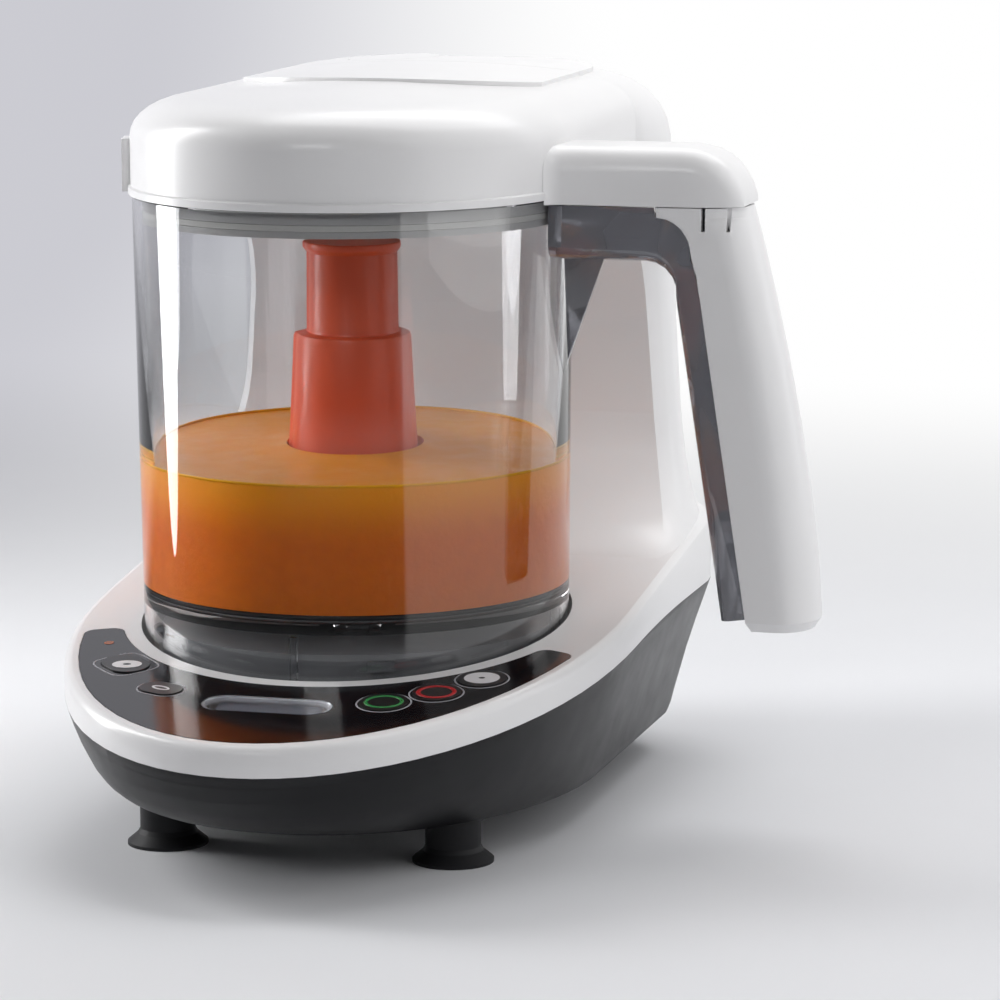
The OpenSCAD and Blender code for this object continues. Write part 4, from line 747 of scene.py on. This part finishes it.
# %% Bayonet ribs of the jug
rib_sizes = {"Count": 4, "Radius": 0.0629, "Height": 0.0602}
rib_set = grown("jug_ribs", ribs, {**rib_sizes, "Material": finishes["smoky_clear"]})
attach(rib_set, "bowl")
print("jug ribs:", len(rib_set.data.polygons), "faces")

# %% [markdown]
# Carrot puree is thick, wet and full of pulp. Its colour comes from inside, so a little light is let
# under the surface, and fine bumps break up the gloss. The colour turns paler over the top part of the
# mass, from 96 to 114 millimetres up.

# %% Puree finish
pale_from, pale_full = 0.096, 0.114
puree_mat, tree, shader = new_material("carrot_puree")
place = node(tree, "ShaderNodeTexCoord").outputs["Object"]
pulp = noise(tree, place, 260, 6)
deep = mix_colour(tree, pulp, (0.66, 0.150, 0.0004), (0.80, 0.200, 0.0006))
height = node(tree, "ShaderNodeSeparateXYZ")
link(tree, place, height.inputs[0])
near_top = eased(tree, height.outputs["Z"], pale_from, pale_full)
link(tree, mix_colour(tree, near_top, deep, (0.88, 0.33, 0.002)), shader.inputs["Base Color"])
link(tree, spread(tree, noise(tree, place, 120, 4), 0.29, 0.45), shader.inputs["Roughness"])
bump = node(tree, "ShaderNodeBump")
bump.inputs["Strength"].default_value, bump.inputs["Distance"].default_value = 0.3, 0.0005
link(tree, noise(tree, place, 420, 5), bump.inputs["Height"])
link(tree, bump.outputs["Normal"], shader.inputs["Normal"])
shader.inputs["Subsurface Weight"].default_value = 0.2
shader.inputs["Subsurface Radius"].default_value = (0.006, 0.002, 0.0006)
shader.inputs["Subsurface Scale"].default_value = 0.5
print("puree finish:", len(tree.nodes), "nodes")

# %% [markdown]
# The food is not part of the machine, but the jug is shown with a puree in it. A wet puree leaves no
# air against the wall, so its side lies a hair inside the plastic. A full cylinder would hide the
# blades' room. It is a ring wall with a slab on top, hollow below, so the blades stay free to turn.

# %% Puree
puree_profile = [(0.0598, 0.0762), (0.06425, 0.0762), (0.06455, 0.0900), (0.06475, 0.1142),
                 (0.0646, 0.1152), (0.0638, 0.1150), (0.0600, 0.1148), (0.0400, 0.1148),
                 (0.0240, 0.1151), (0.0216, 0.1160), (0.0214, 0.1152), (0.0216, 0.1000),
                 (0.0590, 0.1000)]
puree = new_piece("carrot_puree", turned("carrot_puree", puree_profile), "bowl", puree_mat)
print("puree:", len(puree.data.vertices), "points")

# %% [markdown]
# Several small things are a round bead along a closed path: the bright rim of the puree, a dark ring of
# painted shade under it and the printed outlines of the keys. A curve with a bevel would do for one. One
# tree that sweeps a bead along any path it is given does for all of them.

# %% Tree of the beads
bead, given, out = new_tree("bead_on_path", [
    ("Radius", "NodeSocketFloat"), ("Step", "NodeSocketFloat"), ("Material", "NodeSocketMaterial")])
path = node(bead, "GeometryNodeMeshToCurve")
link(bead, given.outputs["Geometry"], path.inputs["Mesh"])
even = node(bead, "GeometryNodeResampleCurve", mode="LENGTH")
link(bead, path.outputs["Curve"], even.inputs["Curve"])
link(bead, given.outputs["Step"], even.inputs["Length"])
round_bead = node(bead, "GeometryNodeCurvePrimitiveCircle")
round_bead.inputs["Resolution"].default_value = 8
link(bead, given.outputs["Radius"], round_bead.inputs["Radius"])
swept = node(bead, "GeometryNodeCurveToMesh")
link(bead, even.outputs["Curve"], swept.inputs["Curve"])
link(bead, round_bead.outputs["Curve"], swept.inputs["Profile Curve"])
smooth = node(bead, "GeometryNodeSetShadeSmooth")
link(bead, swept.outputs["Mesh"], smooth.inputs["Geometry"])
finish_tree(bead, smooth.outputs["Geometry"], given, out)
print("bead tree:", len(bead.nodes), "nodes")

# %% [markdown]
# A thin bright line marks where the puree climbs the wall, and a dark one, painted shade, darkens the
# inner corner of the jug's floor under it. Both follow a circle, written as points joined into a closed
# path.

# %% Puree edge and painted shade of the floor corner
def closed_path(name, points):
    mesh = bpy.data.meshes.new(name)
    mesh.from_pydata(points, [(i, (i + 1) % len(points)) for i in range(len(points))], [])
    return mesh


def circle_points(r, z, steps=120):
    turns = [2 * math.pi * i / steps for i in range(steps)]
    return [(r * math.cos(t), r * math.sin(t), z) for t in turns]


line_mat = surface("puree_edge", (0.85, 0.42, 0.004), 0.3, 0.06, 900, 0.1)
# painted shade: a near-black ring in the inner corner of the jug's floor, where the clear corner looks dark
corner_shade_mat = surface("floor_seal", (0.008, 0.008, 0.009), 0.5, 0.1, 2000, 0.1)
rings = (("puree_edge", 0.0644, 0.1153, 0.0005, line_mat),
         ("floor_seal", 0.0633, 0.0753, 0.0009, corner_shade_mat))
for name, r, z, bead_r, finish in rings:
    sizes = {"Radius": bead_r, "Step": 0.003, "Material": finish}
    ring = grown(name, bead, sizes, closed_path(name, circle_points(r, z)))
    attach(ring, "bowl")
    print(name, len(ring.data.polygons), "faces")

# %% [markdown]
# The panel's print lies on a tilted deck. One helper turns deck measures, along, across and above the
# film, into the frame's own. Drawing straight in the frame keeps every piece at the origin, where a
# flat drawing turned into place afterwards would leave it tilted.

# %% Places on the deck
deck_height, deck_tilt = 0.0652, math.radians(7.3)


def on_deck(x, y, rise=0.0):
    c, w = math.cos(deck_tilt), math.sin(deck_tilt)
    return (x, y * c - rise * w, deck_height + y * w + rise * c)


def set_on_deck(spot, turn, rise, points):
    """The flat points, turned, moved to their spot and laid on the deck."""
    c, w = math.cos(turn), math.sin(turn)
    return [on_deck(spot[0] + x * c - y * w, spot[1] + x * w + y * c, rise) for x, y in points]


mm = 0.001
deck_normal = Vector((0, -math.sin(deck_tilt), math.cos(deck_tilt)))


def deck_top(name):
    return max((v.co - Vector((0, 0, deck_height))).dot(deck_normal) for v in nodes[name].data.vertices)


film, cap = deck_top("control_panel"), deck_top("key_start")
print("film and caps stand", round(film / mm, 2), "and", round(cap / mm, 2), "mm over the deck")

# %% [markdown]
# The outlines come in three forms: a slot with round ends, an oval, and a box with bulging sides. Each
# is a rule from an angle to a point, which gives an even run of points for the bead to follow. A drawn
# curve would need handles for every corner.

# %% Outlines
def slot_path(spot, half, turn, rise, steps=20):
    """A rounded slot of half sizes half, turned on the deck."""
    points = []
    for side in (1, -1):
        for i in range(steps + 1):
            t = math.pi * (i / steps - 0.5)
            x = half[0] - half[1] + half[1] * math.cos(t)
            points.append((side * x, side * half[1] * math.sin(t)))
    return set_on_deck(spot, turn, rise, points)


def oval_path(spot, half, turn, rise, steps=48):
    turns = [2 * math.pi * i / steps for i in range(steps)]
    return set_on_deck(spot, turn, rise, [(half[0] * math.cos(t), half[1] * math.sin(t)) for t in turns])


def box_path(spot, half, turn, rise, steps=64):
    """A box with bulging sides and round corners, turned on the deck."""
    points = []
    for i in range(steps):
        x, y = math.cos(2 * math.pi * i / steps), math.sin(2 * math.pi * i / steps)
        points.append((half[0] * math.copysign(abs(x) ** 0.5, x),
                       half[1] * math.copysign(abs(y) ** 0.5, y)))
    return set_on_deck(spot, turn, rise, points)


def flattened(piece, plane_rise, factor):
    """Presses a bead flat against the deck, because ink has hardly any height."""
    base_point = Vector(on_deck(0, 0, plane_rise))
    for v in piece.data.vertices:
        v.co -= deck_normal * (v.co - base_point).dot(deck_normal) * (1 - factor)
    return piece


print("outline forms:", [f.__name__ for f in (slot_path, oval_path, box_path)])

# %% [markdown]
# Each key has a pale outline round it, printed on the film, so it stays with the base. Start and stop
# carry a coloured ring on their caps, which travels with the key. Printed ink has hardly any height,
# so each bead is pressed flat until it stands out by about a fifth of a millimetre or less.

# %% Printed outlines and rings
inks = {
    "pale": surface("ink_pale", (0.36, 0.36, 0.39), 0.4, 0.05, 1800, 0.02),
    "white": surface("ink_white", (0.78, 0.78, 0.8), 0.4, 0.02, 1800, 0.02),
    "green": surface("ink_green", (0.018, 0.22, 0.05), 0.4, 0.06, 1800, 0.02),
    "red": surface("ink_red", (0.42, 0.012, 0.016), 0.4, 0.06, 1800, 0.02),
}
key_spots = {"start": (34 * mm, -83.4 * mm), "stop": (47 * mm, -72.5 * mm),
             "blend": (57 * mm, -58.2 * mm), "steam": (-36.2 * mm, -81.8 * mm)}
mode_outline, mode_cap = (-54.6 * mm, -61.6 * mm), (-53.9 * mm, -62.6 * mm)
round_half, ring_half = (8.1 * mm, 8.1 * mm), (5.4 * mm, 5.0 * mm)
signs = [(f"outline_{key}", oval_path(key_spots[key], round_half, 0, film), 0.28, "pale", "base", film)
         for key in ("start", "stop", "blend")]
signs += [
    ("outline_steam", slot_path(key_spots["steam"], (7.7 * mm, 5.3 * mm), math.radians(-20), film),
     0.26, "pale", "base", film),
    ("outline_mode", box_path(mode_outline, (9.3 * mm, 8.2 * mm), math.radians(-42), film),
     0.28, "pale", "base", film),
    ("sign_start", oval_path(key_spots["start"], ring_half, 0, cap), 0.6, "green", "key_start", cap),
    ("sign_stop", oval_path(key_spots["stop"], ring_half, 0, cap), 0.7, "red", "key_stop", cap),
]
for name, points, radius, ink, body, rise in signs:
    sizes = {"Radius": radius * mm, "Step": 0.6 * mm, "Material": inks[ink]}
    sign = grown(name, bead, sizes, closed_path(name, points))
    flattened(sign, rise, 0.3)
    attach(sign, body)
print("outlines and rings:", len(signs))

# %% [markdown]
# The other three keys carry a white oval with a hole. A bead can't fill an area, so these are flat
# rings between two paths, with a top, a foot and both sides, which keeps them closed solids.

# %% Filled signs
ink_height = 0.12 * mm


def filled(name, outer, inner, body):
    """A flat ring of white ink between two paths with the same number of points."""
    over = deck_normal * ink_height
    bm = bmesh.new()
    loops = [[bm.verts.new(Vector(p) + rise) for p in path] for path, rise in
             ((outer, -over), (outer, over), (inner, over), (inner, -over))]
    for a, b in zip(loops, loops[1:] + loops[:1]):
        for i in range(len(a)):
            j = (i + 1) % len(a)
            bm.faces.new((a[i], a[j], b[j], b[i]))
    bmesh.ops.recalc_face_normals(bm, faces=bm.faces)
    return new_piece(name, mesh_of(bm, name), body, inks["white"])


def sign_oval(name, spot, half, hole, turn, body):
    return filled(name, oval_path(spot, half, turn, cap), oval_path(spot, hole, turn, cap), body)


blend_sign = sign_oval("sign_blend", key_spots["blend"], (5.4 * mm, 4.9 * mm), (1.0 * mm, 0.9 * mm),
                       0, "key_blend")
mode_sign = sign_oval("sign_mode", mode_cap, (4.6 * mm, 3.4 * mm), (1.3 * mm, 0.9 * mm), 0.1, "key_mode")
steam_sign = sign_oval("sign_steam", key_spots["steam"], (3.2 * mm, 1.5 * mm), (2.4 * mm, 0.8 * mm),
                       -0.35, "key_steam")
print("filled signs:", [o.name for o in (blend_sign, mode_sign, steam_sign)])

# %% [markdown]
# The hub that carries the blades is one terracotta moulding in two tiers. It is turned like the jug,
# with a small nose down the left side and a wavy foot. Both come from letting the radius vary with
# the angle, which saves cutting and joining. It replaces the plain solid and turns with the blades.

# %% Hub
nose_at, nose_width, nose_out, nose_foot_z = math.radians(190), 0.13, 0.07, 0.083
waves, wave_out, wave_foot_z, wave_top_z = 10, 0.02, 0.0825, 0.100


def hub_share(t, z):
    """How far the hub reaches at turn t and height z, as a share of its profile's radius."""
    away = (t - nose_at + math.pi) % (2 * math.pi) - math.pi
    nose = nose_out * math.exp(-(away / nose_width) ** 2) if z > nose_foot_z else 0.0
    wave = wave_out * math.cos(waves * t) if wave_foot_z < z < wave_top_z else 0.0
    return 1 + nose + wave


hub_profile = [(0.0104, 0.0760), (0.0140, 0.0760), (0.0140, 0.0820), (0.0208, 0.0820),
               (0.0210, 0.0830), (0.0207, 0.0880), (0.0204, 0.0960), (0.0198, 0.1130),
               (0.0187, 0.1320), (0.0178, 0.1506), (0.0174, 0.1517), (0.0167, 0.1520),
               (0.0142, 0.1523), (0.0139, 0.1530), (0.01365, 0.1780), (0.0145, 0.1791),
               (0.0148, 0.1797), (0.0148, 0.1811), (0.0145, 0.1815), (0, 0.1815),
               (0, 0.1767), (0.0104, 0.1767)]
hub_mesh = turned("blade_hub_turned", hub_profile, 180, hub_share)
hub = new_piece("blade_hub_turned", hub_mesh, "blades", finishes["terracotta"])
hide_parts("blade_hub")
print("hub:", len(hub.data.polygons), "faces")
